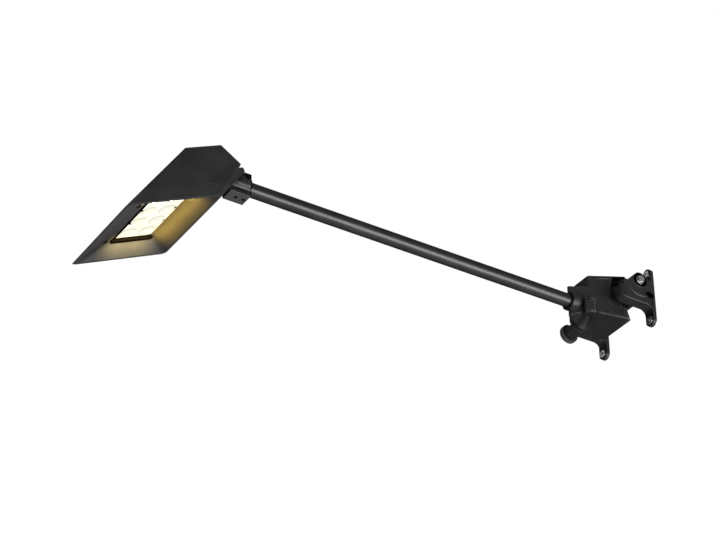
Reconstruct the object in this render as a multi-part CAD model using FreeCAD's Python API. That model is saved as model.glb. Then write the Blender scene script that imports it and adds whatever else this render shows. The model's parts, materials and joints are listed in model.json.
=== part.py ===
"""Outdoor display light on a wall arm, built from separate pieces.

Millimetres, +Z up. The wall is the plane y = 0. Each piece is drawn with the arm running out
along -Y on the line x = 0, z = 0, and is then moved so that the origin is the centre of the four
screw feet on the wall. The head's own pieces are drawn in a head frame: X across the head, Y from
the front lip back towards the wall, Z square to the mouth, with the origin on the front lip.
"""
import FreeCAD
import Part
import math
import os

# Arm pipe: 3/4 in pipe, 30 in long
pipe_outer_d = 26.7
pipe_wall = 2.9
pipe_length = 762.0
socket_depth = 29.5
box_socket_depth = 38.5
box_socket_mouth_y = 142.0

# Clearances shared by every piece
overrun = 2.0
running_gap = 0.1
seat_gap = 0.3
thread_gap = 0.2

# Wall bracket
foot_pitch_x = 145.0
foot_pitch_z = 101.0
foot_mid_z = 13.0
foot_radius = 12.0
rail_depth = 7.0
cheek_outer_x = 83.0
cheek_bottom_z = -10.5
cheek_front_y = 78.0
cheek_front_top_z = 14.0
cheek_front_radius = 16.0
cheek_foot_radius = 14.0
cheek_corner_radius = 14.0
cheek_back_z = 56.0
web_bottom_z = 24.0
web_depth = 6.0
web_hole_z = 42.0
web_hole_radius = 11.0
pad_radius = 35.0
pad_height = 1.5
boss_radius = 15.5
boss_height = 3.0
boss_recess_radius = 12.2
boss_recess_depth = 2.5
bushing_hole_radius = 3.4
bushing_wall = 1.2
bushing_flange_radius = 7.5
bushing_flange_height = 2.2

# Arm pivot: two bolts, one through each cheek
pivot_y = 34.0
pivot_z = 37.0
pivot_bolt_radius = 4.0
bolt_head_across_flats = 13.0
bolt_head_height = 5.3
bolt_washer_radius = 8.5
bolt_washer_thick = 1.6
friction_washer_radius = 12.0
friction_washer_thick = 1.5
pivot_nut_height = 8.0
lug_radius = 14.0
lug_inner_x = 30.0

# Junction box
box_front_y = 109.0
box_front_half = 21.0
box_rear_y = 46.0
box_rear_half = 56.0
box_top_z = 57.0
box_bottom_front_z = -22.0
box_bottom_rear_z = -38.0
box_wall = 4.0
cover_thick = 4.0
cover_chamfer = 1.5
gasket_thick = 1.5
gasket_inset = 1.0
box_front_round = 6.0
box_rear_round = 2.0
heel_rear_y = 40.0
heel_top_z = -21.0
far_cut_y = 62.0
far_cut_x = 36.0
recess_half = 40.0
recess_front_y = 76.0
recess_front_z = 10.0
recess_bottom_front_z = -11.0
recess_bottom_rear_z = -20.0
recess_bottom_front_y = 65.0
recess_top_front_y = 67.0
recess_corner_y = 73.8
recess_corner_z = -2.9
prow_front_y = 141.0
prow_inset = 1.0
prow_top_z = 32.0
prow_bottom_z = -33.0
socket_collar_radius = 18.5
socket_screw_inset = 15.0
socket_screw_spacing = 10.0
wire_hole_radius = 5.5
rear_hole_radius = 11.0
rear_hole_z = 20.0
cover_screw_inset = 9.5
cover_screw_radius = 2.5
cover_screw_head_radius = 4.6
cover_screw_head_height = 2.8
cover_screw_length = 16.0
cover_screw_hex = 3.0
cover_post_radius = 6.0
edge_round = 2.0

# Cast lugs on the front corners of the box
corner_lug_length = 21.0
corner_lug_top_z = 0.5
corner_lug_bottom_z = -30.0
corner_lug_thick = 10.0
corner_lug_ahead = 10.0
corner_lug_round = 1.6
corner_lug_slot_length = 9.0
corner_lug_slot_height = 2.4
corner_lug_slot_drop = 5.0

# Conduit hub and plug on the far side of the box
hub_y = 101.0
hub_z = -32.0
hub_radius = 13.0
hub_end_inset = 5.0
hub_root_x = 19.0
hub_fairing_x = 8.0
hub_fairing_z = -22.5
hub_fairing_radius = 2.5
hub_bore_radius = 9.6
hub_passage_x = 23.0
hub_passage_radius = 4.0
plug_head_radius = 18.5
plug_head_height = 9.5
plug_stem_length = 16.0
plug_slot_width = 3.0
plug_slot_depth = 2.5
plug_seal_thick = 1.6
plug_seal_radius = 12.5

# Grommets
grommet_lip = 2.0
grommet_lip_thick = 1.6
grommet_wall = 2.2

# Wiring inside the box
terminal_length = 44.0
terminal_width = 16.0
terminal_height = 14.0
terminal_foot_height = 4.0
terminal_count = 4
terminal_y = 76.0
terminal_screw_radius = 1.9
terminal_screw_height = 3.0
ground_screw_radius = 2.4
ground_screw_across_flats = 8.0
ground_screw_head_height = 2.6
ground_screw_y = 58.0
ground_boss_radius = 6.0
ground_boss_height = 8.0
ground_screw_length = 6.0
lead_diameter = 8.0
lead_inside_box = 13.0
lead_clamp_half = 9.0
lead_clamp_thick = 6.0
lead_clamp_y = 92.0
lead_clamp_bottom_z = -18.0
lead_clamp_top_z = 1.0

# Set screws
set_screw_radius = 3.0
set_screw_length = 9.0
set_screw_hex = 3.0
set_screw_hex_depth = 2.5
knuckle_screw_spacing = 15.0

# Knuckle block on the end of the pipe
knuckle_length = 40.0
knuckle_half = 15.5
knuckle_top_z = 24.0
knuckle_bottom_z = -26.0
knuckle_collar_radius = 18.6
knuckle_collar_front_radius = 16.4
knuckle_round = 6.0
tongue_half = 19.0
hinge_ahead = 17.0
hinge_z = -14.0
hinge_radius = 15.0
hinge_bolt_radius = 4.0
ear_thick = 7.0
ear_root = 12.0
ear_low_y = 270.0
ear_low_z = 52.0
ear_heel_y = 281.0
ear_heel_z = 54.0
ear_tip_y = 319.0
ear_tip_low_z = 77.5
ear_tip_high_z = 86.5
ear_round = 2.5
hinge_washer_radius = 8.5
hinge_washer_thick = 1.6
hinge_nut_height = 6.5

# Head: side profile in the head frame, as (along, up) from the front lip
head_tilt_deg = 25.7
head_half = 105.7
lip_to_roof_y = 157.0
roof_front_z = 95.6
roof_rear_y = 229.5
roof_rear_z = 95.1
nape_y = 255.0
nape_z = 54.5
mouth_length = 192.5
hinge_from_lip_y = 273.2
hinge_from_lip_z = 68.8
head_wall = 3.5
head_edge_round = 7.0
bezel_height = 20.0
bezel_gasket_thick = 1.4
bezel_gasket_inset = 1.2

# Mouth of the bezel and LED panel behind it
mouth_lip_front = 6.0
mouth_lip_rear = 4.5
mouth_lip_side = 4.5
panel_front_y = 80.0
panel_rear_y = 154.5
panel_half = 74.0
panel_depth = 25.0
funnel_wall = 2.5
funnel_corner_round = 12.0
lens_margin = 4.0
lens_thick = 3.0
lens_rows = 2
lens_columns = 4
lens_radius = 15.5
lens_height = 5.5
lens_pocket_radius = 7.0
lens_pocket_depth = 2.2
board_thick = 1.6
chip_size = 5.0
chip_height = 1.0
tray_thick = 4.0
tray_margin_x = 14.0
tray_margin_y = 6.0
tray_post_radius = 5.5
tray_screw_radius = 2.0
tray_screw_head_radius = 3.8
tray_screw_head_height = 2.4
tray_screw_length = 14.0
lens_screw_x = 22.5
lens_screw_inset = 3.5
lens_screw_radius = 1.5
lens_screw_head_radius = 3.2
lens_screw_head_height = 1.8
lens_screw_hex = 2.1
lens_screw_length = 7.5
bezel_screw_x = 62.0
bezel_screw_y = 52.0
bezel_screw_radius = 2.5
bezel_screw_head_radius = 4.4
bezel_screw_head_height = 3.0
bezel_screw_hex = 3.5
bezel_post_radius = 6.5
bezel_hook_x = 60.0
bezel_hook_width = 16.0
bezel_hook_thick = 2.5
bezel_hook_height = 9.0
driver_length = 116.0
driver_width = 44.0
driver_height = 26.0
driver_foot = 9.0
driver_foot_thick = 2.0
driver_front_y = 164.0
driver_lift = 8.0
driver_screw_radius = 2.0
driver_screw_head_radius = 3.8
driver_screw_head_height = 2.2
driver_screw_length = 7.0

X_AXIS = FreeCAD.Vector(1, 0, 0)
Y_AXIS = FreeCAD.Vector(0, 1, 0)
Z_AXIS = FreeCAD.Vector(0, 0, 1)

# Places worked out from the driving dimensions
pipe_radius = pipe_outer_d / 2
pipe_bore_radius = pipe_radius - pipe_wall
pipe_rear_y = -(box_socket_mouth_y - box_socket_depth)
pipe_front_y = pipe_rear_y - pipe_length
knuckle_mouth_y = pipe_front_y + socket_depth
knuckle_front_y = knuckle_mouth_y - knuckle_length
hinge_y = knuckle_front_y - hinge_ahead
foot_x = foot_pitch_x / 2
cheek_inner_x = foot_x - foot_radius
foot_low_z = foot_mid_z - foot_pitch_z / 2
foot_high_z = foot_mid_z + foot_pitch_z / 2
facet_length = math.hypot(box_rear_half - box_front_half, box_front_y - box_rear_y)
facet_run_x = (box_rear_half - box_front_half) / facet_length
facet_run_y = (box_front_y - box_rear_y) / facet_length
box_rim_z = box_top_z - cover_thick - gasket_thick
hub_end_x = box_rear_half - hub_end_inset
lens_flange_z = panel_depth + seat_gap
board_z = lens_flange_z + lens_thick
tray_z = board_z + board_thick
tray_top_z = tray_z + tray_thick


def vec(x, y, z):
    """Return a vector."""
    return FreeCAD.Vector(x, y, z)


def block(low, high):
    """Return a box between two opposite corners."""
    size = [b - a for a, b in zip(low, high)]
    return Part.makeBox(size[0], size[1], size[2], vec(*low))


def rod(radius, length, start, direction):
    """Return a cylinder from a start point along a direction."""
    return Part.makeCylinder(radius, length, vec(*start), direction)


def tube(outer, inner, length, start, direction):
    """Return a cylinder with a hole along it."""
    return rod(outer, length, start, direction).cut(rod(inner, length, start, direction))


def prism(points, direction):
    """Return the solid that a closed outline sweeps along a direction."""
    ring = [vec(*p) for p in points]
    return Part.Face(Part.makePolygon(ring + ring[:1])).extrude(direction)


def side_prism(outline, low_x, high_x):
    """Return a prism along X whose outline is given as (y, z) points."""
    return prism([(low_x, y, z) for y, z in outline], vec(high_x - low_x, 0, 0))


def plan_prism(outline, low_z, high_z):
    """Return a prism along Z whose outline is given as (x, y) points."""
    return prism([(x, y, low_z) for x, y in outline], vec(0, 0, high_z - low_z))


def hex_prism(across_flats, height, start, direction):
    """Return a hexagonal prism along a direction, for bolt heads and nuts."""
    corner = across_flats / math.sqrt(3)
    turns = [math.radians(60 * k) for k in range(6)]
    outline = [(corner * math.cos(t), corner * math.sin(t), 0) for t in turns]
    shape = prism(outline, vec(0, 0, height))
    shape.Placement = FreeCAD.Placement(vec(*start), FreeCAD.Rotation(Z_AXIS, direction))
    return shape


def inset_outline(points, distance):
    """Return a convex outline, given anticlockwise, with every side moved inwards."""
    sides = []
    for (ax, ay), (bx, by) in zip(points, points[1:] + points[:1]):
        length = math.hypot(bx - ax, by - ay)
        normal = (-(by - ay) / length, (bx - ax) / length)
        sides.append((normal, normal[0] * ax + normal[1] * ay + distance))
    corners = []
    for (n, c), (m, d) in zip(sides[-1:] + sides[:-1], sides):
        cross = n[0] * m[1] - n[1] * m[0]
        corners.append(((c * m[1] - d * n[1]) / cross, (d * n[0] - c * m[0]) / cross))
    return corners


def edges_along(shape, direction, keep):
    """Return a shape's straight edges along a direction whose middle passes a test."""
    found = []
    for edge in shape.Edges:
        if not isinstance(edge.Curve, Part.Line):
            continue
        run = edge.tangentAt(edge.FirstParameter)
        if abs(abs(run.dot(direction)) - 1) < 1e-6 and keep(edge.CenterOfMass):
            found.append(edge)
    return found


def fuse_all(shapes):
    """Return one solid made of several that touch or overlap."""
    return shapes[0].fuse(shapes[1:]).removeSplitter()


def cut_all(shape, tools):
    """Return a shape with several tools cut away."""
    return shape.cut(Part.makeCompound(tools))


def mirror_x(shape):
    """Return the shape's mirror image on the other side of the arm."""
    return shape.mirror(vec(0, 0, 0), X_AXIS)


def pair(shape):
    """Return a shape and its mirror image as one group."""
    return Part.makeCompound([shape, mirror_x(shape)])


def save(name, shape):
    """Move one sub-part so that the origin is the centre of the feet, and write it."""
    placed = shape.copy()
    placed.translate(vec(0, 0, -foot_mid_z))
    placed.exportStep(os.path.join("parts", name + ".step"))
    print(name, "solids", len(placed.Solids), "volume", round(placed.Volume, 1), placed.isValid())


# Wall bracket and what is fixed to it

def foot_places():
    """Return the (x, z) centres of the four feet."""
    return [(sx * foot_x, z) for z in (foot_low_z, foot_high_z) for sx in (-1, 1)]


def cheek_outline():
    """Return the face of one cheek, seen from the side, as a closed wire in the YZ plane."""
    radius = cheek_foot_radius
    front = -cheek_front_y
    bottom = cheek_bottom_z
    foot_z = bottom - radius
    nose = cheek_front_radius
    nose_z = bottom + nose
    lean = math.radians(45)
    boss_top = pivot_z + boss_radius
    points = {
        "wall_low": (-rail_depth / 2, foot_z),
        "foot": (-rail_depth, foot_z),
        "foot_mid": (-rail_depth - radius + radius * math.cos(lean), foot_z + radius * math.sin(lean)),
        "foot_end": (-rail_depth - radius, bottom),
        "nose_low": (front + nose, bottom),
        "nose_mid": (front + nose - nose * math.sin(lean), bottom + nose - nose * math.cos(lean)),
        "nose_high": (front, nose_z),
        "front_top": (front + nose / 2, cheek_front_top_z + nose / 2),
        "boss_start": (-pivot_y - boss_radius * math.sin(lean), pivot_z + boss_radius * math.cos(lean)),
        "boss_top": (-pivot_y, boss_top),
        "boss_end": (-pivot_y + boss_radius * math.sin(lean), pivot_z + boss_radius * math.cos(lean)),
        "wall_high": (-rail_depth / 2, cheek_back_z - boss_radius),
    }
    at = {key: vec(cheek_inner_x, y, z) for key, (y, z) in points.items()}
    edges = [
        Part.LineSegment(at["wall_low"], at["foot"]).toShape(),
        Part.Arc(at["foot"], at["foot_mid"], at["foot_end"]).toShape(),
        Part.LineSegment(at["foot_end"], at["nose_low"]).toShape(),
        Part.Arc(at["nose_low"], at["nose_mid"], at["nose_high"]).toShape(),
        Part.LineSegment(at["nose_high"], at["front_top"]).toShape(),
        Part.LineSegment(at["front_top"], at["boss_start"]).toShape(),
        Part.Arc(at["boss_start"], at["boss_top"], at["boss_end"]).toShape(),
        Part.LineSegment(at["boss_end"], at["wall_high"]).toShape(),
        Part.LineSegment(at["wall_high"], at["wall_low"]).toShape(),
    ]
    return Part.Wire(edges)


def cheek():
    """Return one cheek with its outer front corner rounded and its bolt boss."""
    body = Part.Face(cheek_outline()).extrude(vec(cheek_outer_x - cheek_inner_x, 0, 0))
    radius = cheek_corner_radius
    corner = block((cheek_outer_x - radius, -cheek_front_y - overrun, cheek_bottom_z - overrun),
                   (cheek_outer_x + overrun, -cheek_front_y + radius, cheek_back_z + overrun))
    keep = rod(radius, cheek_back_z - cheek_bottom_z + 2 * overrun,
               (cheek_outer_x - radius, -cheek_front_y + radius, cheek_bottom_z - overrun), Z_AXIS)
    body = body.cut(corner.cut(keep))
    pad = rod(pad_radius, pad_height, (cheek_outer_x, -pivot_y, pivot_z), X_AXIS)
    edge = Part.Face(cheek_outline()).extrude(vec(cheek_outer_x, 0, 0))
    pad = pad.common(edge).common(block((cheek_outer_x, -cheek_front_y, cheek_bottom_z + pad_height),
                                        (cheek_outer_x + pad_height, -rail_depth, cheek_back_z)))
    boss = rod(boss_radius, boss_height, (cheek_outer_x, -pivot_y, pivot_z), X_AXIS)
    return fuse_all([body, pad, boss])


def rail():
    """Return the upright strip that joins the two feet of one side."""
    strip = block((foot_x - foot_radius, -rail_depth, foot_low_z),
                  (foot_x + foot_radius, 0, foot_high_z))
    ends = [rod(foot_radius, rail_depth, (foot_x, -rail_depth, z), Y_AXIS)
            for z in (foot_low_z, foot_high_z)]
    return fuse_all([strip] + ends)


def wall_bracket():
    """Return the bracket casting."""
    side = rail().fuse(cheek())
    web = block((-cheek_inner_x, -web_depth, web_bottom_z),
                (cheek_inner_x, 0, foot_high_z - foot_radius / 2))
    body = fuse_all([side, mirror_x(side), web])
    tools = [rod(web_hole_radius, web_depth + 2 * overrun, (0, -web_depth - overrun, web_hole_z), Y_AXIS)]
    for x, z in foot_places():
        tools.append(rod(bushing_hole_radius + bushing_wall + running_gap, rail_depth + 2 * overrun,
                         (x, -rail_depth - overrun, z), Y_AXIS))
    span = cheek_outer_x + boss_height + overrun
    tools.append(rod(pivot_bolt_radius + running_gap, 2 * span, (-span, -pivot_y, pivot_z), X_AXIS))
    recess = rod(boss_recess_radius, boss_recess_depth + overrun,
                 (cheek_outer_x + boss_height - boss_recess_depth, -pivot_y, pivot_z), X_AXIS)
    tools += [recess, mirror_x(recess)]
    return cut_all(body, tools)


def foot_bushings():
    """Return the four plated bushings that the wall screws pass through."""
    solids = []
    for x, z in foot_places():
        sleeve = rod(bushing_hole_radius + bushing_wall, rail_depth, (x, -rail_depth, z), Y_AXIS)
        flange = rod(bushing_flange_radius, bushing_flange_height,
                     (x, -rail_depth - bushing_flange_height, z), Y_AXIS)
        hole = rod(bushing_hole_radius, rail_depth + bushing_flange_height + 2 * overrun,
                   (x, -rail_depth - bushing_flange_height - overrun, z), Y_AXIS)
        shape = fuse_all([sleeve, flange]).cut(hole)
        rim = [e for e in shape.Edges if abs(e.CenterOfMass.y + rail_depth + bushing_flange_height) < 1e-6
               and e.Length > math.pi * (bushing_flange_radius + bushing_hole_radius)]
        solids.append(shape.makeFillet(bushing_flange_height / 2, rim))
    return Part.makeCompound(solids)


def pivot_seat_x():
    """Return where the bolt's washer sits in the boss."""
    return cheek_outer_x + boss_height - boss_recess_depth


def pivot_nut_x():
    """Return the outer face of the nut, inside the lug."""
    return lug_inner_x - seat_gap


def pivot_bolts():
    """Return the two hex bolts that clamp the box between the cheeks."""
    seat = pivot_seat_x() + bolt_washer_thick
    head = hex_prism(bolt_head_across_flats, bolt_head_height, (seat, -pivot_y, pivot_z), X_AXIS)
    dome = rod(bolt_head_across_flats / 2, bolt_head_height + overrun / 2, (seat, -pivot_y, pivot_z), X_AXIS)
    tip = pivot_nut_x() - pivot_nut_height
    shank = rod(pivot_bolt_radius, seat - tip + pivot_bolt_radius / 2,
                (tip - pivot_bolt_radius / 2, -pivot_y, pivot_z), X_AXIS)
    head = head.common(dome.fuse(rod(bolt_head_across_flats, bolt_head_height - overrun / 2,
                                     (seat, -pivot_y, pivot_z), X_AXIS)))
    return pair(head.fuse(shank).removeSplitter())


def pivot_washers():
    """Return the plain washers under the bolt heads."""
    washer = tube(bolt_washer_radius, pivot_bolt_radius + thread_gap, bolt_washer_thick,
                  (pivot_seat_x(), -pivot_y, pivot_z), X_AXIS)
    return pair(washer)


def friction_washer_x():
    """Return the inner face of the friction washer, between lug and cheek."""
    return cheek_inner_x - seat_gap - friction_washer_thick


def friction_washers():
    """Return the washers between the cheeks and the box's lugs."""
    washer = tube(friction_washer_radius, pivot_bolt_radius + running_gap, friction_washer_thick,
                  (friction_washer_x(), -pivot_y, pivot_z), X_AXIS)
    return pair(washer)


def pivot_nuts():
    """Return the lock nuts on the inner ends of the pivot bolts."""
    outer = pivot_nut_x()
    nut = hex_prism(bolt_head_across_flats, pivot_nut_height, (outer - pivot_nut_height, -pivot_y, pivot_z),
                    X_AXIS)
    hole = rod(pivot_bolt_radius + running_gap, pivot_nut_height + 2 * overrun,
               (outer - pivot_nut_height - overrun, -pivot_y, pivot_z), X_AXIS)
    return pair(nut.cut(hole))


def grommet(hole_radius, wall_low_y, wall_high_y, z):
    """Return a rubber grommet that lines a hole through a wall square to Y."""
    sleeve_radius = hole_radius - running_gap
    length = wall_high_y - wall_low_y
    sleeve = rod(sleeve_radius, length, (0, wall_low_y, z), Y_AXIS)
    lips = [rod(sleeve_radius + grommet_lip, grommet_lip_thick, (0, y, z), Y_AXIS)
            for y in (wall_low_y - grommet_lip_thick, wall_high_y)]
    bore = rod(sleeve_radius - grommet_wall, length + 2 * grommet_lip_thick + 2 * overrun,
               (0, wall_low_y - grommet_lip_thick - overrun, z), Y_AXIS)
    return fuse_all([sleeve] + lips).cut(bore)


def wire_grommet():
    """Return the grommet in the cross web, with its rear lip left off at the wall."""
    whole = grommet(web_hole_radius, -web_depth, 0, web_hole_z)
    behind = block((-2 * web_hole_radius, 0, web_hole_z - 2 * web_hole_radius),
                   (2 * web_hole_radius, grommet_lip_thick + overrun, web_hole_z + 2 * web_hole_radius))
    return whole.cut(behind)


# Junction box and the pipe

def box_plan():
    """Return the box's outline from above, anticlockwise."""
    return [(-box_front_half, -box_front_y), (box_front_half, -box_front_y),
            (box_rear_half, -box_rear_y), (-box_rear_half, -box_rear_y)]


def bottom_z(y, lift=0.0):
    """Return the height of the sloping bottom at a place along the arm."""
    slope = (box_bottom_rear_z - box_bottom_front_z) / (box_front_y - box_rear_y)
    return box_bottom_front_z + slope * (y + box_front_y) + lift


def box_body(outline, lift, top_z):
    """Return a prism over an outline, from the sloping bottom up to a level."""
    reach = box_front_y + box_rear_half
    below = side_prism([(-reach, bottom_z(-reach, lift)), (0, bottom_z(0, lift)),
                        (0, top_z), (-reach, top_z)], -reach, reach)
    return plan_prism(outline, bottom_z(0) - overrun, top_z + overrun).common(below)


def rounded_plan(low_z, high_z):
    """Return a prism over the box's outline with its four upright edges rounded."""
    form = plan_prism(box_plan(), low_z, high_z)
    front = edges_along(form, Z_AXIS, lambda c: c.y < -(box_front_y + box_rear_y) / 2)
    form = form.makeFillet(box_front_round, front)
    rear = edges_along(form, Z_AXIS, lambda c: c.y > -box_rear_y - overrun / 2)
    return form.makeFillet(box_rear_round, rear)


def rounded_box():
    """Return the box's outer form, from its sloping bottom up to the gasket."""
    form = rounded_plan(bottom_z(0) - overrun, box_rim_z)
    return form.common(box_body([(-box_rear_half, -box_front_y), (box_rear_half, -box_front_y),
                                 (box_rear_half, -box_rear_y), (-box_rear_half, -box_rear_y)],
                                0.0, box_rim_z))


def heel():
    """Return the foot of the rear wall, which leans out towards the wall plate."""
    inner = -box_rear_y - box_wall / 2
    return side_prism([(inner, heel_top_z), (inner, bottom_z(inner)), (-heel_rear_y, bottom_z(-heel_rear_y)),
                       (-box_rear_y, heel_top_z)], -box_rear_half, box_rear_half)


def belly():
    """Return the wedge that slopes the bottom down from its near edge to prow and hub."""
    near = vec(box_front_half, -box_front_y, box_bottom_front_z)
    rear = vec(-box_rear_half, -box_rear_y, box_bottom_rear_z)
    front = vec(-prow_half(prow_front_y), -prow_front_y, prow_bottom_z)
    normal = (rear - near).cross(front - near)
    reach = prow_front_y + overrun
    corners = [(-box_rear_half, -reach), (box_rear_half, -reach), (box_rear_half, -box_rear_y),
               (-box_rear_half, -box_rear_y)]
    ring = [vec(x, y, near.z - (normal.x * (x - near.x) + normal.y * (y - near.y)) / normal.z)
            for x, y in corners]
    above = Part.Face(Part.makePolygon(ring + ring[:1])).extrude(vec(0, 0, box_top_z))
    low = prow_bottom_z + box_bottom_rear_z
    plan = rounded_plan(low, box_bottom_front_z + box_wall).fuse(prow_plan(low, box_bottom_front_z + box_wall))
    return plan.common(above)


def far_corner(grow):
    """Return the corner that is cut off the skirt beside the conduit, moved inwards by a wall."""
    front_x = -(box_front_half + (box_front_y - far_cut_y) * facet_run_x / facet_run_y)
    run = vec(-far_cut_x - front_x, far_cut_y - heel_rear_y, 0)
    shift = vec(run.y, -run.x, 0) * (grow / run.Length)
    start = vec(front_x, -far_cut_y, 0) + shift - run
    end = vec(-far_cut_x, -heel_rear_y, 0) + shift + run
    return plan_prism([(start.x, start.y), (end.x, end.y), (-2 * box_rear_half, end.y),
                       (-2 * box_rear_half, start.y)], 2 * box_bottom_rear_z, recess_bottom_rear_z)


def hub():
    """Return the conduit hub with the cone that fairs its root into the sloping bottom."""
    barrel = rod(hub_radius, hub_end_x - hub_root_x, along_hub(0), X_AXIS)
    start = vec(hub_fairing_x, -hub_y, hub_fairing_z)
    way = vec(-hub_root_x, -hub_y, hub_z) - start
    return barrel.fuse(Part.makeCone(hub_fairing_radius, hub_radius, way.Length, start, way))


def side_recess():
    """Return the pocket cut in one side of the box where the cheek comes past."""
    low_rear = vec(recess_half, overrun, recess_bottom_rear_z)
    low_front = vec(recess_half, -recess_bottom_front_y, recess_bottom_front_z)
    front = vec(recess_half, -recess_front_y, recess_front_z)
    high_front = vec(recess_half, -recess_top_front_y, box_top_z + overrun)
    high_rear = vec(recess_half, overrun, box_top_z + overrun)
    mid = vec(recess_half, -recess_corner_y, recess_corner_z)
    edges = [
        Part.LineSegment(low_rear, low_front).toShape(),
        Part.Arc(low_front, mid, front).toShape(),
        Part.LineSegment(front, high_front).toShape(),
        Part.LineSegment(high_front, high_rear).toShape(),
        Part.LineSegment(high_rear, low_rear).toShape(),
    ]
    return Part.Face(Part.Wire(edges)).extrude(vec(box_rear_half, 0, 0))


def pivot_lug():
    """Return the ear that carries one pivot bolt behind the box."""
    outer = friction_washer_x() - seat_gap
    eye = rod(lug_radius, outer - lug_inner_x, (lug_inner_x, -pivot_y, pivot_z), X_AXIS)
    root = block((lug_inner_x, -box_rear_y - box_wall / 2, pivot_z - lug_radius),
                 (outer, -pivot_y, pivot_z + lug_radius))
    side = block((recess_half - box_wall / 2, -box_rear_y - lug_radius, pivot_z - lug_radius / 2),
                 (outer, -pivot_y, pivot_z + lug_radius / 2))
    return fuse_all([eye, root, side])


def prow_half(y):
    """Return half the prow's width at a distance from the wall."""
    return box_front_half - ((y - box_front_y) * facet_run_x + prow_inset) / facet_run_y


def prow_plan(low_z, high_z):
    """Return a prism over the prow's outline."""
    rear = box_front_y - box_wall / 2
    front_half = prow_half(prow_front_y)
    rear_half = prow_half(rear)
    return plan_prism([(-front_half, -prow_front_y), (front_half, -prow_front_y), (rear_half, -rear),
                       (-rear_half, -rear)], low_z, high_z)


def prow():
    """Return the narrow front of the box that narrows along the line of its side facets."""
    return prow_plan(box_bottom_front_z, prow_top_z)


def facet_frame(along, out, z):
    """Return a point on the positive side facet: a run from its front edge, out, and a height."""
    x = box_front_half + along * facet_run_x + out * facet_run_y
    y = -box_front_y + along * facet_run_y - out * facet_run_x
    return (x, y, z)


def corner_lug():
    """Return the flat rectangular lug that stands out of one front corner."""
    height = corner_lug_top_z - corner_lug_bottom_z
    lug = block((0, -corner_lug_thick, 0), (corner_lug_length, box_wall, height))
    outer = [e for e in lug.Edges if abs(e.CenterOfMass.y + corner_lug_thick) < 1e-6]
    lug = lug.makeFillet(corner_lug_round, outer)
    slot_x = (corner_lug_length - corner_lug_slot_length) / 2
    slot_z = height - corner_lug_slot_drop
    slot = block((slot_x, -corner_lug_thick - overrun, slot_z),
                 (slot_x + corner_lug_slot_length, -corner_lug_thick + box_wall / 2,
                  slot_z + corner_lug_slot_height))
    lug = lug.cut(slot)
    lug.rotate(vec(0, 0, 0), Z_AXIS, math.degrees(math.atan2(facet_run_y, facet_run_x)))
    lug.translate(vec(*facet_frame(-corner_lug_ahead, 0, corner_lug_bottom_z)))
    return lug


def along_hub(distance):
    """Return the point on the hub's axis at a distance out beyond its end face."""
    return (-hub_end_x - distance, -hub_y, hub_z)


def cover_screw_places():
    """Return the (x, y) centres of the four cover screws."""
    inner = inset_outline(box_plan(), cover_screw_inset)
    rear = recess_half - cover_screw_inset
    return [(sx * x, y) for x, y in ((inner[1][0], inner[1][1]), (rear, inner[2][1])) for sx in (-1, 1)]


def cavity():
    """Return the hollow of the box: narrow between the recesses, wide in the skirt."""
    inside = inset_outline(box_plan(), box_wall)
    hollow = box_body(inside, box_wall, box_rim_z + overrun)
    half = recess_half - box_wall
    shelf_z = recess_bottom_rear_z - box_wall
    hollow = hollow.cut(far_corner(box_wall))
    narrow = block((-half, -box_front_y, shelf_z), (half, 0, box_rim_z + overrun))
    wide = block((-box_rear_half, -box_front_y, box_bottom_rear_z), (box_rear_half, 0, shelf_z))
    return hollow.common(narrow.fuse(wide))


def throat():
    """Return the end of the pipe socket inside the box."""
    length = pipe_rear_y + seat_gap + box_wall + box_front_y - box_wall / 2
    return rod(socket_collar_radius, length, (0, -box_front_y + box_wall / 2, 0), Y_AXIS)


def floor_pads():
    """Return the pads inside the box that carry terminal block, ground screw and lead clamp."""
    terminal = block((-terminal_length / 2, -terminal_y - terminal_width / 2,
                      bottom_z(-terminal_y) + box_wall / 2),
                     (terminal_length / 2, -terminal_y + terminal_width / 2, terminal_seat_z()))
    ground = rod(ground_boss_radius, ground_boss_height,
                 (0, -ground_screw_y, bottom_z(-ground_screw_y) + box_wall / 2), Z_AXIS)
    clamp = block((-lead_clamp_half, -lead_clamp_y - lead_clamp_thick / 2,
                   bottom_z(-lead_clamp_y) + box_wall / 2),
                  (lead_clamp_half, -lead_clamp_y + lead_clamp_thick / 2, lead_clamp_bottom_z))
    return [terminal, ground, clamp]


def box_bores():
    """Return everything that is drilled into the box."""
    seat = pipe_rear_y + seat_gap
    tools = [rod(pipe_radius + running_gap, seat + prow_front_y + overrun,
                 (0, -prow_front_y - overrun, 0), Y_AXIS),
             rod(wire_hole_radius, 2 * box_wall, (0, seat - overrun, lead_z()), Y_AXIS),
             rod(rear_hole_radius, 3 * box_wall, (0, -box_rear_y - 2 * box_wall, rear_hole_z), Y_AXIS),
             rod(pivot_bolt_radius + running_gap, 4 * box_rear_half,
                 (-2 * box_rear_half, -pivot_y, pivot_z), X_AXIS),
             rod(hub_bore_radius, hub_end_x - hub_passage_x + hub_passage_radius + overrun,
                 along_hub(overrun), X_AXIS),
             rod(hub_passage_radius, -hub_z + recess_bottom_rear_z, (-hub_passage_x, -hub_y, hub_z), Z_AXIS),
             rod(ground_screw_radius + thread_gap, ground_screw_length + overrun,
                 (0, -ground_screw_y, ground_seat_z() - ground_screw_length), Z_AXIS)]
    for x, y in cover_screw_places():
        tools.append(rod(cover_screw_radius + thread_gap, cover_screw_length,
                         (x, y, box_rim_z - cover_screw_length + overrun), Z_AXIS))
    for y in box_set_screw_places():
        tools.append(rod(set_screw_radius + thread_gap, prow_top_z + overrun, (0, y, 0), Z_AXIS))
    return tools


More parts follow.
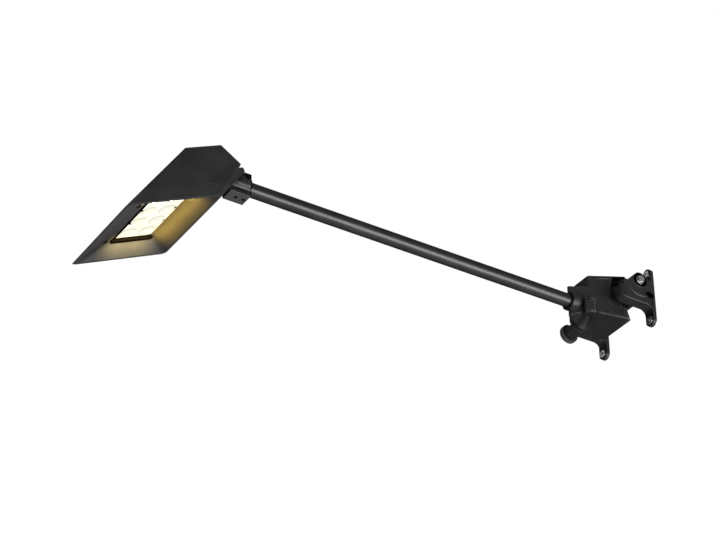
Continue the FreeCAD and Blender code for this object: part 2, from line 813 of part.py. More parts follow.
def junction_box():
    """Return the box casting, open at the top, with its socket, lugs and hub."""
    outer = rounded_box()
    recess = side_recess()
    outer = outer.cut(recess).cut(mirror_x(recess)).fuse([heel(), belly()]).cut(far_corner(0))
    lug = pivot_lug()
    collar = rod(socket_collar_radius, box_socket_mouth_y - box_front_y + box_wall / 2,
                 (0, -box_socket_mouth_y, 0), Y_AXIS)
    tab = corner_lug()
    body = fuse_all([outer, prow(), collar, lug, mirror_x(lug), tab, mirror_x(tab), hub()])
    body = body.cut(cavity())
    posts = [rod(cover_post_radius, box_rim_z - bottom_z(y) - box_wall / 2,
                 (x, y, bottom_z(y) + box_wall / 2), Z_AXIS) for x, y in cover_screw_places()]
    posts = [post.common(outer) for post in posts]
    body = fuse_all([body, throat()] + floor_pads() + posts)
    return cut_all(body, box_bores())


def box_cover():
    """Return the top cover, with its upper edge chamfered and screw holes."""
    low = box_rim_z + gasket_thick
    plate = plan_prism(box_plan(), low, box_top_z)
    upright = edges_along(plate, Z_AXIS, lambda c: c.y < -(box_front_y + box_rear_y) / 2)
    plate = plate.makeFillet(box_front_round, upright)
    rim = [e for e in plate.Edges if abs(e.CenterOfMass.z - box_top_z) < 1e-6]
    plate = plate.makeChamfer(cover_chamfer, rim)
    tools = [rod(cover_screw_radius + thread_gap, cover_thick + 2 * overrun, (x, y, low - overrun), Z_AXIS)
             for x, y in cover_screw_places()]
    return cut_all(plate, tools)


def box_gasket():
    """Return the flat gasket between box and cover."""
    top = box_rim_z + gasket_thick
    half = recess_half - gasket_inset
    sheet = plan_prism(inset_outline(box_plan(), gasket_inset), box_rim_z, top).common(
        block((-half, -box_front_y, box_rim_z), (half, 0, top)))
    ring = sheet.cut(plan_prism(inset_outline(box_plan(), box_wall), box_rim_z - overrun,
                                top + overrun).common(
        block((-recess_half + box_wall, -box_front_y, box_rim_z - overrun),
              (recess_half - box_wall, 0, top + overrun))))
    pads = [rod(cover_post_radius, gasket_thick, (x, y, box_rim_z), Z_AXIS).common(sheet)
            for x, y in cover_screw_places()]
    holes = [rod(cover_screw_radius + thread_gap, gasket_thick + 2 * overrun, (x, y, box_rim_z - overrun),
                 Z_AXIS) for x, y in cover_screw_places()]
    return cut_all(fuse_all([ring] + pads), holes)


def box_cover_screws():
    """Return the four pan-head screws of the cover."""
    solids = []
    for x, y in cover_screw_places():
        head = rod(cover_screw_head_radius, cover_screw_head_height, (x, y, box_top_z), Z_AXIS)
        rim = [e for e in head.Edges if e.CenterOfMass.z > box_top_z + cover_screw_head_height / 2
               and isinstance(e.Curve, Part.Circle)]
        head = head.makeFillet(cover_screw_head_height / 2, rim)
        shank = rod(cover_screw_radius, cover_screw_length, (x, y, box_top_z - cover_screw_length), Z_AXIS)
        socket = hex_prism(cover_screw_hex, cover_screw_head_height,
                           (x, y, box_top_z + cover_screw_head_height / 2), Z_AXIS)
        solids.append(head.fuse(shank).cut(socket).removeSplitter())
    return Part.makeCompound(solids)


def arm_pipe():
    """Return the pipe between box and knuckle."""
    return tube(pipe_radius, pipe_bore_radius, pipe_length, (0, pipe_front_y, 0), Y_AXIS)


def box_set_screw_places():
    """Return where the two set screws stand along the box's socket."""
    first = -box_socket_mouth_y + socket_screw_inset
    return [first, first + socket_screw_spacing]


def set_screw(y, direction):
    """Return one socket set screw whose tip just clears the pipe."""
    tip = direction * (pipe_radius + seat_gap)
    way = vec(0, 0, direction)
    body = rod(set_screw_radius, set_screw_length, (0, y, tip), way)
    drive = hex_prism(set_screw_hex, set_screw_hex_depth + overrun,
                      (0, y, tip + direction * (set_screw_length - set_screw_hex_depth)), way)
    return body.cut(drive)


def pipe_set_screws():
    """Return the two set screws of the box's socket."""
    return Part.makeCompound([set_screw(y, 1) for y in box_set_screw_places()])


def conduit_plug():
    """Return the slotted plug that closes the unused conduit entry."""
    seat = plug_seal_thick
    head = rod(plug_head_radius, plug_head_height, along_hub(seat + plug_head_height), X_AXIS)
    far_end = vec(*along_hub(seat + plug_head_height))
    rim = [e for e in head.Edges if isinstance(e.Curve, Part.Circle)
           and (e.CenterOfMass - far_end).Length < plug_head_height / 2]
    head = head.makeFillet(plug_head_height / 3, rim)
    stem = rod(hub_bore_radius - thread_gap, plug_stem_length, along_hub(seat), X_AXIS)
    body = head.fuse(stem).removeSplitter()
    face_x = -hub_end_x - seat - plug_head_height
    slot = block((face_x - overrun, -hub_y - plug_head_radius, hub_z - plug_slot_width / 2),
                 (face_x + plug_slot_depth, -hub_y + plug_head_radius, hub_z + plug_slot_width / 2))
    return body.cut(slot)


def plug_seal():
    """Return the flat ring under the plug's head."""
    return tube(plug_seal_radius, hub_bore_radius, plug_seal_thick, along_hub(plug_seal_thick), X_AXIS)


def rear_grommet():
    """Return the grommet in the box's rear wall."""
    return grommet(rear_hole_radius, -box_rear_y - box_wall, -box_rear_y, rear_hole_z)


def terminal_seat_z():
    """Return the level of the pad that the terminal block stands on."""
    return bottom_z(-terminal_y - terminal_width / 2) + box_wall + terminal_foot_height


def terminal_pitch():
    """Return the distance between two poles of the terminal block."""
    return terminal_length / terminal_count


def terminal_poles():
    """Return the x of each pole."""
    first = -(terminal_count - 1) * terminal_pitch() / 2
    return [first + k * terminal_pitch() for k in range(terminal_count)]


def terminal_block():
    """Return the terminal block with its wire entries and screw wells."""
    seat = terminal_seat_z()
    body = block((-terminal_length / 2, -terminal_y - terminal_width / 2, seat),
                 (terminal_length / 2, -terminal_y + terminal_width / 2, seat + terminal_height))
    tools = []
    for x in terminal_poles():
        tools.append(rod(terminal_screw_radius + thread_gap, terminal_screw_height + overrun,
                         (x, -terminal_y, seat + terminal_height - terminal_screw_height), Z_AXIS))
        tools.append(rod(terminal_screw_radius, terminal_width / 4 + overrun,
                         (x, -terminal_y - terminal_width / 2 - overrun, seat + terminal_height / 3), Y_AXIS))
    return cut_all(body, tools)


def terminal_screws():
    """Return the clamping screws of the terminal block."""
    top = terminal_seat_z() + terminal_height
    solids = []
    for x in terminal_poles():
        body = rod(terminal_screw_radius, terminal_screw_height, (x, -terminal_y, top - terminal_screw_height),
                   Z_AXIS)
        slot = block((x - terminal_screw_radius, -terminal_y - terminal_screw_radius / 5,
                      top - terminal_screw_height / 4),
                     (x + terminal_screw_radius, -terminal_y + terminal_screw_radius / 5, top + overrun))
        solids.append(body.cut(slot))
    return Part.makeCompound(solids)


def ground_seat_z():
    """Return the top of the boss that takes the ground screw."""
    return bottom_z(-ground_screw_y) + box_wall / 2 + ground_boss_height


def ground_screw():
    """Return the ground screw."""
    seat = ground_seat_z()
    head = hex_prism(ground_screw_across_flats, ground_screw_head_height,
                     (0, -ground_screw_y, seat), Z_AXIS)
    shank = rod(ground_screw_radius, ground_screw_length, (0, -ground_screw_y,
                                                           seat - ground_screw_length), Z_AXIS)
    return head.fuse(shank).removeSplitter()


def lead_clamp():
    """Return the clamp block that holds the lead where it comes into the box."""
    body = block((-lead_clamp_half, -lead_clamp_y - lead_clamp_thick / 2, lead_clamp_bottom_z),
                 (lead_clamp_half, -lead_clamp_y + lead_clamp_thick / 2, lead_clamp_top_z))
    top = edges_along(body, Y_AXIS, lambda c: c.z > 0)
    body = body.makeFillet(lead_clamp_thick / 3, top)
    return body.cut(rod(lead_diameter / 2 + seat_gap, 2 * lead_clamp_thick,
                        (0, -lead_clamp_y - lead_clamp_thick, lead_z()), Y_AXIS))


def lead_z():
    """Return the height of the lead, which lies in the bottom of the pipe."""
    return -(pipe_bore_radius - lead_diameter / 2 - seat_gap)


def arm_lead():
    """Return the insulated lead, straight through the pipe and on into the box."""
    rear = pipe_rear_y + seat_gap + box_wall + lead_inside_box
    front = pipe_front_y + socket_depth / 2
    return rod(lead_diameter / 2, rear - front, (0, front, lead_z()), Y_AXIS)


# Knuckle block

def tongue():
    """Return the eye for the hinge bolt and the root that joins it to the slab."""
    eye = rod(hinge_radius, 2 * tongue_half, (-tongue_half, hinge_y, hinge_z), X_AXIS)
    root = block((-knuckle_half, hinge_y, hinge_z - hinge_radius / 2),
                 (knuckle_half, knuckle_front_y + knuckle_round, hinge_z + hinge_radius))
    return eye.fuse(root)


def knuckle_set_screw_places():
    """Return where the two set screws stand along the knuckle's socket."""
    mid = knuckle_mouth_y - socket_depth / 2
    return [mid - knuckle_screw_spacing / 2, mid + knuckle_screw_spacing / 2]


def knuckle_block():
    """Return the block with the pipe socket and the hinge tongue."""
    slab = block((-knuckle_half, knuckle_front_y, knuckle_bottom_z),
                 (knuckle_half, knuckle_mouth_y - seat_gap, knuckle_top_z))
    slab = slab.makeFillet(knuckle_round, edges_along(slab, Y_AXIS, lambda c: c.z > 0))
    low = edges_along(slab, Y_AXIS, lambda c: c.z < 0)
    low += edges_along(slab, X_AXIS, lambda c: c.z < 0 and c.y > (knuckle_front_y + knuckle_mouth_y) / 2)
    slab = slab.makeFillet(edge_round / 2, low)
    collar = Part.makeCone(knuckle_collar_front_radius, knuckle_collar_radius, knuckle_length - knuckle_round,
                           vec(0, knuckle_front_y + knuckle_round, 0), Y_AXIS)
    body = fuse_all([slab, collar, tongue()])
    seat = pipe_front_y - seat_gap
    tools = [rod(pipe_radius + running_gap, knuckle_mouth_y - seat + overrun, (0, seat, 0), Y_AXIS),
             rod(hinge_bolt_radius + running_gap, 4 * tongue_half,
                 (-2 * tongue_half, hinge_y, hinge_z), X_AXIS)]
    for y in knuckle_set_screw_places():
        tools.append(rod(set_screw_radius + thread_gap, -knuckle_bottom_z + overrun,
                         (0, y, knuckle_bottom_z - overrun), Z_AXIS))
    return cut_all(body, tools)


def knuckle_set_screws():
    """Return the two set screws under the knuckle's socket."""
    return Part.makeCompound([set_screw(y, -1) for y in knuckle_set_screw_places()])


# Head, drawn in its own frame and then placed

def place_head(shape):
    """Return a shape of the head frame at its tilt on the hinge."""
    placed = shape.copy()
    placed.translate(vec(0, -hinge_from_lip_y, -hinge_from_lip_z))
    placed.rotate(vec(0, 0, 0), X_AXIS, head_tilt_deg)
    placed.translate(vec(0, hinge_y, hinge_z))
    return placed


def head_profile():
    """Return the head's side outline as (along, up) points, anticlockwise."""
    return [(0, 0), (mouth_length, 0), (nape_y, nape_z), (roof_rear_y, roof_rear_z),
            (lip_to_roof_y, roof_front_z)]


def head_form():
    """Return the whole outer form of the head, solid, with its side edges rounded."""
    form = side_prism(head_profile(), -head_half, head_half)
    sides = [e for e in form.Edges if abs(abs(e.CenterOfMass.x) - head_half) < 1e-6
             and e.CenterOfMass.z > 1e-6]
    return form.makeFillet(head_edge_round, sides)


def head_inside():
    """Return the hollow of the head."""
    half = head_half - head_wall
    return side_prism(inset_outline(head_profile(), head_wall), -half, half)


def layer(low_z, high_z):
    """Return a slab of the head frame between two levels."""
    return block((-head_half - overrun, -overrun, low_z), (head_half + overrun, nape_y + overrun, high_z))


def funnel(grow, low_z, high_z):
    """Return the solid of the mouth, between its lip and the LED panel, grown all round."""
    def corners(z):
        share = z / panel_depth
        front = mouth_lip_front + (panel_front_y - mouth_lip_front) * share - grow
        rear = mouth_length - mouth_lip_rear + (panel_rear_y - mouth_length + mouth_lip_rear) * share + grow
        half = head_half - mouth_lip_side + (panel_half - head_half + mouth_lip_side) * share + grow
        ring = [vec(-half, front, z), vec(half, front, z), vec(half, rear, z), vec(-half, rear, z)]
        return Part.makePolygon(ring + ring[:1])
    solid = Part.makeLoft([corners(low_z), corners(high_z)], True, True)
    slanted = [e for e in solid.Edges if abs(e.Vertexes[0].Z - e.Vertexes[1].Z) > (high_z - low_z) / 2]
    return solid.makeFillet(funnel_corner_round, slanted)


def tray_post_places():
    """Return the (x, y) centres of the four posts that carry the tray."""
    x = panel_half + tray_margin_x - tray_post_radius
    return [(sx * x, y) for sx in (-1, 1) for y in (panel_front_y + tray_post_radius,
                                                    panel_rear_y - tray_post_radius)]


def bezel_screw_places():
    """Return the (x, y) centres of the two captive bezel screws."""
    return [(sx * bezel_screw_x, bezel_screw_y) for sx in (-1, 1)]


def ear():
    """Return the long hinge ear on the positive side of the head."""
    low = tongue_half + seat_gap
    eye = rod(hinge_radius, ear_thick, (low, hinge_from_lip_y, hinge_from_lip_z), X_AXIS)
    arm = side_prism([(roof_rear_y - ear_root, nape_z), (nape_y - ear_root, nape_z - ear_root / 2),
                      (ear_low_y, ear_low_z), (ear_heel_y, ear_heel_z), (ear_tip_y, ear_tip_low_z),
                      (ear_tip_y, ear_tip_high_z), (roof_rear_y - ear_root, ear_tip_high_z)],
                     low, low + ear_thick)
    arm = arm.makeFillet(ear_round, edges_along(arm, X_AXIS, lambda c: c.y > hinge_from_lip_y))
    return eye.fuse(arm)


def driver_seat_z():
    """Return the level of the pads that carry the driver, above the tray."""
    return tray_top_z + driver_lift


def driver_screw_places():
    """Return the (x, y) centres of the driver's two screws."""
    x = driver_length / 2 + driver_foot / 2
    return [(sx * x, driver_front_y + driver_width / 2) for sx in (-1, 1)]


def head_housing():
    """Return the wedge casting with its posts and hinge ears."""
    low = bezel_height + bezel_gasket_thick
    form = head_form()
    shell = form.cut(head_inside()).common(layer(low, roof_front_z + overrun))
    posts = [rod(tray_post_radius, roof_front_z, (x, y, tray_top_z), Z_AXIS) for x, y in tray_post_places()]
    posts += [rod(bezel_post_radius, roof_front_z, (x, y, low + seat_gap), Z_AXIS)
              for x, y in bezel_screw_places()]
    posts = [post.common(form) for post in posts]
    shelf_x = driver_length / 2 + driver_foot
    for side in (-1, 1):
        near = sorted((side * driver_length / 2, side * (head_half - head_wall / 2)))
        posts.append(block((near[0], driver_front_y + driver_width / 4, driver_seat_z() - driver_foot_thick),
                           (near[1], driver_front_y + driver_width * 3 / 4, driver_seat_z())))
    outside = [piece.cut(form) for piece in (ear(), mirror_x(ear()))]
    bodies = [shell] + posts + outside
    body = fuse_all(bodies)
    bolt_x = 2 * (tongue_half + ear_thick)
    tools = [rod(hinge_bolt_radius + running_gap, 2 * bolt_x, (-bolt_x, hinge_from_lip_y, hinge_from_lip_z),
                 X_AXIS)]
    for x, y in tray_post_places():
        tools.append(rod(tray_screw_radius + thread_gap, tray_screw_length - tray_thick + overrun,
                         (x, y, tray_top_z - overrun), Z_AXIS))
    for x, y in bezel_screw_places():
        tools.append(rod(bezel_screw_radius + thread_gap, bezel_screw_depth(), (x, y, low), Z_AXIS))
    for x, y in driver_screw_places():
        tools.append(rod(driver_screw_radius + thread_gap, driver_foot_thick + 2 * overrun,
                         (x, y, driver_seat_z() - driver_foot_thick - overrun), Z_AXIS))
    return cut_all(body, tools)


def bezel_screw_depth():
    """Return how far the bezel screws reach into their posts."""
    return 4 * bezel_screw_radius


def funnel_z(y):
    """Return the level of the mouth's front wall at a place along the head."""
    return panel_depth * (y - mouth_lip_front) / (panel_front_y - mouth_lip_front)


def bezel_frame():
    """Return the lower frame: outer band, lip and the flared mouth in one casting."""
    form = head_form()
    band = form.cut(head_inside()).common(layer(0, bezel_height))
    flare = funnel(funnel_wall, 0, panel_depth).common(form)
    lip = form.common(layer(0, head_wall))
    bosses = [rod(bezel_post_radius, bezel_height - funnel_z(y) + funnel_wall, (x, y, funnel_z(y) - funnel_wall),
                  Z_AXIS) for x, y in bezel_screw_places()]
    hooks = []
    top = bezel_height + bezel_hook_height
    slope = (nape_y - mouth_length) / nape_z
    for side in (-1, 1):
        x = side * bezel_hook_x
        inner = [(y - head_wall - seat_gap, z) for y, z in
                 ((mouth_length + slope * (bezel_height - head_wall), bezel_height - head_wall),
                  (mouth_length + slope * top, top))]
        hook = [inner[0], inner[1], (inner[1][0] - bezel_hook_thick, inner[1][1]),
                (inner[0][0] - bezel_hook_thick, inner[0][1])]
        hooks.append(side_prism([(y - head_wall, z) for y, z in hook],
                                x - bezel_hook_width / 2, x + bezel_hook_width / 2))
        hooks.append(block((x - bezel_hook_width / 2, panel_rear_y, bezel_height - head_wall),
                           (x + bezel_hook_width / 2, inner[0][0] - head_wall, bezel_height)))
    inside = head_inside().common(layer(0, panel_depth + overrun))
    body = fuse_all([band, flare, lip] + [boss.common(inside) for boss in bosses])
    body = fuse_all([body] + hooks)
    tools = [funnel(0, -overrun, panel_depth + overrun)]
    for x, y in bezel_screw_places():
        tools.append(rod(bezel_screw_radius + thread_gap, bezel_height + overrun, (x, y, -overrun), Z_AXIS))
        tools.append(rod(bezel_screw_head_radius + thread_gap, bezel_head_z() + overrun, (x, y, -overrun),
                         Z_AXIS))
    return cut_all(body, tools)


def bezel_head_z():
    """Return the level that the bezel screw heads seat on."""
    return funnel_z(bezel_screw_y - bezel_screw_head_radius) + bezel_screw_head_height


def bezel_gasket():
    """Return the ring gasket in the seam between housing and bezel."""
    high = bezel_height + bezel_gasket_thick
    outer = inset_outline(head_profile(), bezel_gasket_inset)
    inner = inset_outline(head_profile(), head_wall)
    half_out = head_half - bezel_gasket_inset
    half_in = head_half - head_wall
    ring = side_prism(outer, -half_out, half_out).cut(side_prism(inner, -half_in, half_in))
    return ring.common(head_form()).common(layer(bezel_height, high))


def bezel_screws():
    """Return the two captive screws in the front wall of the mouth."""
    solids = []
    seat = bezel_head_z()
    top = bezel_height + bezel_gasket_thick + bezel_screw_depth() - overrun
    for x, y in bezel_screw_places():
        head = rod(bezel_screw_head_radius, bezel_screw_head_height, (x, y, seat - bezel_screw_head_height),
                   Z_AXIS)
        shank = rod(bezel_screw_radius, top - seat, (x, y, seat), Z_AXIS)
        drive = hex_prism(bezel_screw_hex, bezel_screw_head_height,
                          (x, y, seat - bezel_screw_head_height * 3 / 2), Z_AXIS)
        solids.append(head.fuse(shank).cut(drive).removeSplitter())
    return Part.makeCompound(solids)


def lens_places():
    """Return the (x, y) centres of the lenses and chips."""
    pitch_x = 2 * panel_half / lens_columns
    pitch_y = (panel_rear_y - panel_front_y) / lens_rows
    return [(-panel_half + pitch_x * (i + 1 / 2), panel_front_y + pitch_y * (j + 1 / 2))
            for i in range(lens_columns) for j in range(lens_rows)]


def lens_screw_places():
    """Return the (x, y) centres of the four lens screws."""
    return [(sx * lens_screw_x, y) for sx in (-1, 1)
            for y in (panel_front_y + lens_screw_inset, panel_rear_y - lens_screw_inset)]


def lens_plate():
    """Return the moulded plate with one domed lens for each chip."""
    plate = block((-panel_half - lens_margin, panel_front_y - lens_margin, lens_flange_z),
                  (panel_half + lens_margin, panel_rear_y + lens_margin, board_z))
    ball = (lens_radius ** 2 + lens_height ** 2) / (2 * lens_height)
    domes = []
    wells = []
    window = block((-panel_half, panel_front_y, lens_flange_z - lens_height),
                   (panel_half, panel_rear_y, board_z - lens_thick / 2))
    for x, y in lens_places():
        sphere = Part.makeSphere(ball, vec(x, y, lens_flange_z - lens_height + ball))
        domes.append(sphere.common(window))
        wells.append(rod(lens_pocket_radius, lens_pocket_depth, (x, y, board_z - lens_pocket_depth), Z_AXIS))
    body = fuse_all([plate] + domes)
    for x, y in lens_screw_places():
        wells.append(rod(lens_screw_head_radius + thread_gap, lens_height + lens_thick / 2,
                         (x, y, lens_flange_z - lens_height), Z_AXIS))
        wells.append(rod(lens_screw_radius + thread_gap, 2 * lens_thick, (x, y, lens_flange_z), Z_AXIS))
    return cut_all(body, wells)


def lens_screws():
    """Return the four screws that hold lens plate and board to the tray."""
    solids = []
    seat = lens_flange_z + lens_thick / 2
    for x, y in lens_screw_places():
        head = rod(lens_screw_head_radius, lens_screw_head_height, (x, y, seat - lens_screw_head_height), Z_AXIS)
        shank = rod(lens_screw_radius, lens_screw_length, (x, y, seat), Z_AXIS)
        drive = hex_prism(lens_screw_hex, lens_screw_head_height,
                          (x, y, seat - lens_screw_head_height * 3 / 2), Z_AXIS)
        solids.append(head.fuse(shank).cut(drive).removeSplitter())
    return Part.makeCompound(solids)


def led_board():
    """Return the circuit board behind the lenses."""
    board = block((-panel_half, panel_front_y, board_z), (panel_half, panel_rear_y, tray_z))
    holes = [rod(lens_screw_radius + thread_gap, 2 * board_thick, (x, y, board_z - board_thick / 2), Z_AXIS)
             for x, y in lens_screw_places()]
    return cut_all(board, holes)


def led_chips():
    """Return the LED packages, one behind each lens."""
    half = chip_size / 2
    return Part.makeCompound([block((x - half, y - half, board_z - chip_height), (x + half, y + half, board_z))
                              for x, y in lens_places()])


def led_tray():
    """Return the aluminium plate that spreads the heat of the board."""
    half = panel_half + tray_margin_x
    plate = block((-half, panel_front_y - tray_margin_y, tray_z), (half, panel_rear_y + tray_margin_y,
                                                                   tray_top_z))
    tools = [rod(tray_screw_radius + thread_gap, 2 * tray_thick, (x, y, tray_z - tray_thick / 2), Z_AXIS)
             for x, y in tray_post_places()]
    tools += [rod(lens_screw_radius + thread_gap, 2 * tray_thick, (x, y, tray_z - tray_thick / 2), Z_AXIS)
              for x, y in lens_screw_places()]
    return cut_all(plate, tools)


def tray_screws():
    """Return the four screws that hold the tray to the housing's posts."""
    solids = []
    for x, y in tray_post_places():
        head = rod(tray_screw_head_radius, tray_screw_head_height, (x, y, tray_z - tray_screw_head_height),
                   Z_AXIS)
        shank = rod(tray_screw_radius, tray_screw_length - overrun, (x, y, tray_z), Z_AXIS)
        solids.append(head.fuse(shank).removeSplitter())
    return Part.makeCompound(solids)


def led_driver():
    """Return the sealed driver with its two mounting feet."""
    seat = driver_seat_z()
    half = driver_length / 2
    body = block((-half, driver_front_y, seat + seat_gap),
                 (half, driver_front_y + driver_width, seat + seat_gap + driver_height))
    feet = [block((sx * half if sx > 0 else -half - driver_foot, driver_front_y + driver_width / 4,
                   seat + seat_gap),
                  (half + driver_foot if sx > 0 else -half, driver_front_y + driver_width * 3 / 4,
                   seat + seat_gap + driver_foot_thick)) for sx in (-1, 1)]
    tools = [rod(driver_screw_radius + thread_gap, 2 * driver_foot_thick, (x, y, seat), Z_AXIS)
             for x, y in driver_screw_places()]
    return cut_all(fuse_all([body] + feet), tools)


def driver_screws():
    """Return the two screws of the driver's feet."""
    top = driver_seat_z() + seat_gap + driver_foot_thick
    solids = []
    for x, y in driver_screw_places():
        head = rod(driver_screw_head_radius, driver_screw_head_height, (x, y, top), Z_AXIS)
        shank = rod(driver_screw_radius, driver_screw_length - overrun, (x, y, top - driver_screw_length
                                                                         + overrun), Z_AXIS)
        solids.append(head.fuse(shank).removeSplitter())
    return Part.makeCompound(solids)


def hinge_bolt_seat():
    """Return where the hinge washers sit outside the ears."""
    return tongue_half + seat_gap + ear_thick


def head_hinge_bolt():
    """Return the bolt through ears and tongue."""
    seat = hinge_bolt_seat() + hinge_washer_thick
    centre = (hinge_from_lip_y, hinge_from_lip_z)
    head = hex_prism(bolt_head_across_flats, bolt_head_height, (seat,) + centre, X_AXIS)
    end = -seat - hinge_nut_height - hinge_bolt_radius / 2
    shank = rod(hinge_bolt_radius, seat - end, (end,) + centre, X_AXIS)
    return head.fuse(shank).removeSplitter()


def head_hinge_nut():
    """Return the lock nut on the hinge bolt."""
    seat = hinge_bolt_seat() + hinge_washer_thick
    centre = (hinge_from_lip_y, hinge_from_lip_z)
    nut = hex_prism(bolt_head_across_flats, hinge_nut_height, (-seat - hinge_nut_height,) + centre, X_AXIS)
    hole = rod(hinge_bolt_radius + running_gap, hinge_nut_height + 2 * overrun,
               (-seat - hinge_nut_height - overrun,) + centre, X_AXIS)
    return nut.cut(hole)


def head_hinge_washers():
    """Return the washers under the bolt head and the nut."""
    washer = tube(hinge_washer_radius, hinge_bolt_radius + thread_gap, hinge_washer_thick,
                  (hinge_bolt_seat(), hinge_from_lip_y, hinge_from_lip_z), X_AXIS)
    return pair(washer)


WALL_AND_ARM = {
    "wall_bracket": wall_bracket,
    "foot_bushings": foot_bushings,
    "pivot_bolts": pivot_bolts,
    "pivot_washers": pivot_washers,
    "friction_washers": friction_washers,
    "pivot_nuts": pivot_nuts,
    "wire_grommet": wire_grommet,
    "junction_box": junction_box,
    "box_cover": box_cover,
    "box_gasket": box_gasket,
    "box_cover_screws": box_cover_screws,
    "arm_pipe": arm_pipe,
    "pipe_set_screws": pipe_set_screws,
    "conduit_plug": conduit_plug,
    "plug_seal": plug_seal,
    "rear_grommet": rear_grommet,
    "terminal_block": terminal_block,
    "terminal_screws": terminal_screws,
    "ground_screw": ground_screw,
    "arm_lead": arm_lead,
    "lead_clamp": lead_clamp,
    "knuckle_block": knuckle_block,
    "knuckle_set_screws": knuckle_set_screws,
}

HEAD = {
    "head_housing": head_housing,
    "head_hinge_bolt": head_hinge_bolt,
    "head_hinge_nut": head_hinge_nut,
    "head_hinge_washers": head_hinge_washers,
    "bezel_frame": bezel_frame,
    "bezel_gasket": bezel_gasket,
    "bezel_screws": bezel_screws,
    "lens_plate": lens_plate,
    "lens_screws": lens_screws,
    "led_board": led_board,
    "led_chips": led_chips,
    "led_tray": led_tray,
    "tray_screws": tray_screws,
    "led_driver": led_driver,
    "driver_screws": driver_screws,
}

os.makedirs("parts", exist_ok=True)
for part_name, make in WALL_AND_ARM.items():
    save(part_name, make())
for part_name, make in HEAD.items():
    save(part_name, place_head(make()))
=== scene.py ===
"""Outdoor display light on a wall arm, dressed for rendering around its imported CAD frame."""
import json
import logging
import math
from dataclasses import dataclass, replace
from enum import Enum

import bmesh
import bpy
from mathutils import Matrix, Vector


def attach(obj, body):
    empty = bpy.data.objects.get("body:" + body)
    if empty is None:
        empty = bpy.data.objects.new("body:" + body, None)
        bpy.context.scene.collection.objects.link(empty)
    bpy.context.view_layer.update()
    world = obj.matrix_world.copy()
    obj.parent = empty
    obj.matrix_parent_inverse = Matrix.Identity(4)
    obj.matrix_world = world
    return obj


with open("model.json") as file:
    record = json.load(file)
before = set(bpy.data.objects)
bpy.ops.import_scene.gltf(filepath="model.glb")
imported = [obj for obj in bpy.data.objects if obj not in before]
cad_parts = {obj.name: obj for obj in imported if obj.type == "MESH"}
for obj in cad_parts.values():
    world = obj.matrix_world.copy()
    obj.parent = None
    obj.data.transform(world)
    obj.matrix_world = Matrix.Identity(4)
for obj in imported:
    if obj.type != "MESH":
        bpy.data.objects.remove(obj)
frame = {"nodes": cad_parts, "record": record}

LOG = logging.getLogger("display_light")
Colour = tuple[float, float, float]
Point = tuple[float, float, float]
Range = tuple[float, float]
Socket = bpy.types.NodeSocket

BLACK: Colour = (0.0, 0.0, 0.0)
WHITE: Colour = (1.0, 1.0, 1.0)
EVEN: Point = (1.0, 1.0, 1.0)
FROM_SIDE: Point = (0.0, 1.0, 1.0)
X_WAY: Point = (1.0, 0.0, 0.0)
Z_WAY: Point = (0.0, 0.0, 1.0)
# The way straight out of the mouth, with the head at rest.
MOUTH_WAY: Point = (0.0, 0.43366, -0.90108)

# A Mix node's colour sockets share their names with its number sockets, so they go by place.
MIX_FIRST, MIX_SECOND, MIX_RESULT = 6, 7, 2
BEVEL_SAMPLES = 4
CREVICE_SAMPLES = 6
# Where masks start and end: how far an edge turns, how closed a corner is, how far a face looks
# down, and how squarely a face of the lens looks out.
EDGE_TURN: Range = (0.8, 0.995)
CREVICE_OPEN: Range = (0.25, 0.85)
DOWN_TURN: Range = (0.7, 0.85)
LENS_SLANT: Range = (0.8, 0.9)
SPECK_RISE: Range = (0.55, 0.8)

# In a spot of painted shade, no hole in the middle, and no distance to either side that it has to
# lie beyond.
NO_HOLE = -1.0
ANYWHERE = -1.0


class Body(Enum):
    """The moving bodies of the light, from the wall outwards."""

    WALL = "wall"
    ARM = "arm"
    KNUCKLE = "knuckle"
    HEAD = "head"


class Slot(Enum):
    """The finishes that the record names."""

    CASTING = "black_casting"
    PIPE = "black_pipe"
    ZINC = "zinc"
    RUBBER = "black_rubber"
    NYLON = "white_nylon"
    BRASS = "brass_screw"
    BOARD = "white_board"
    ALUMINIUM = "bare_aluminium"
    LENS = "lit_lens"
    CHIP = "lit_chip"


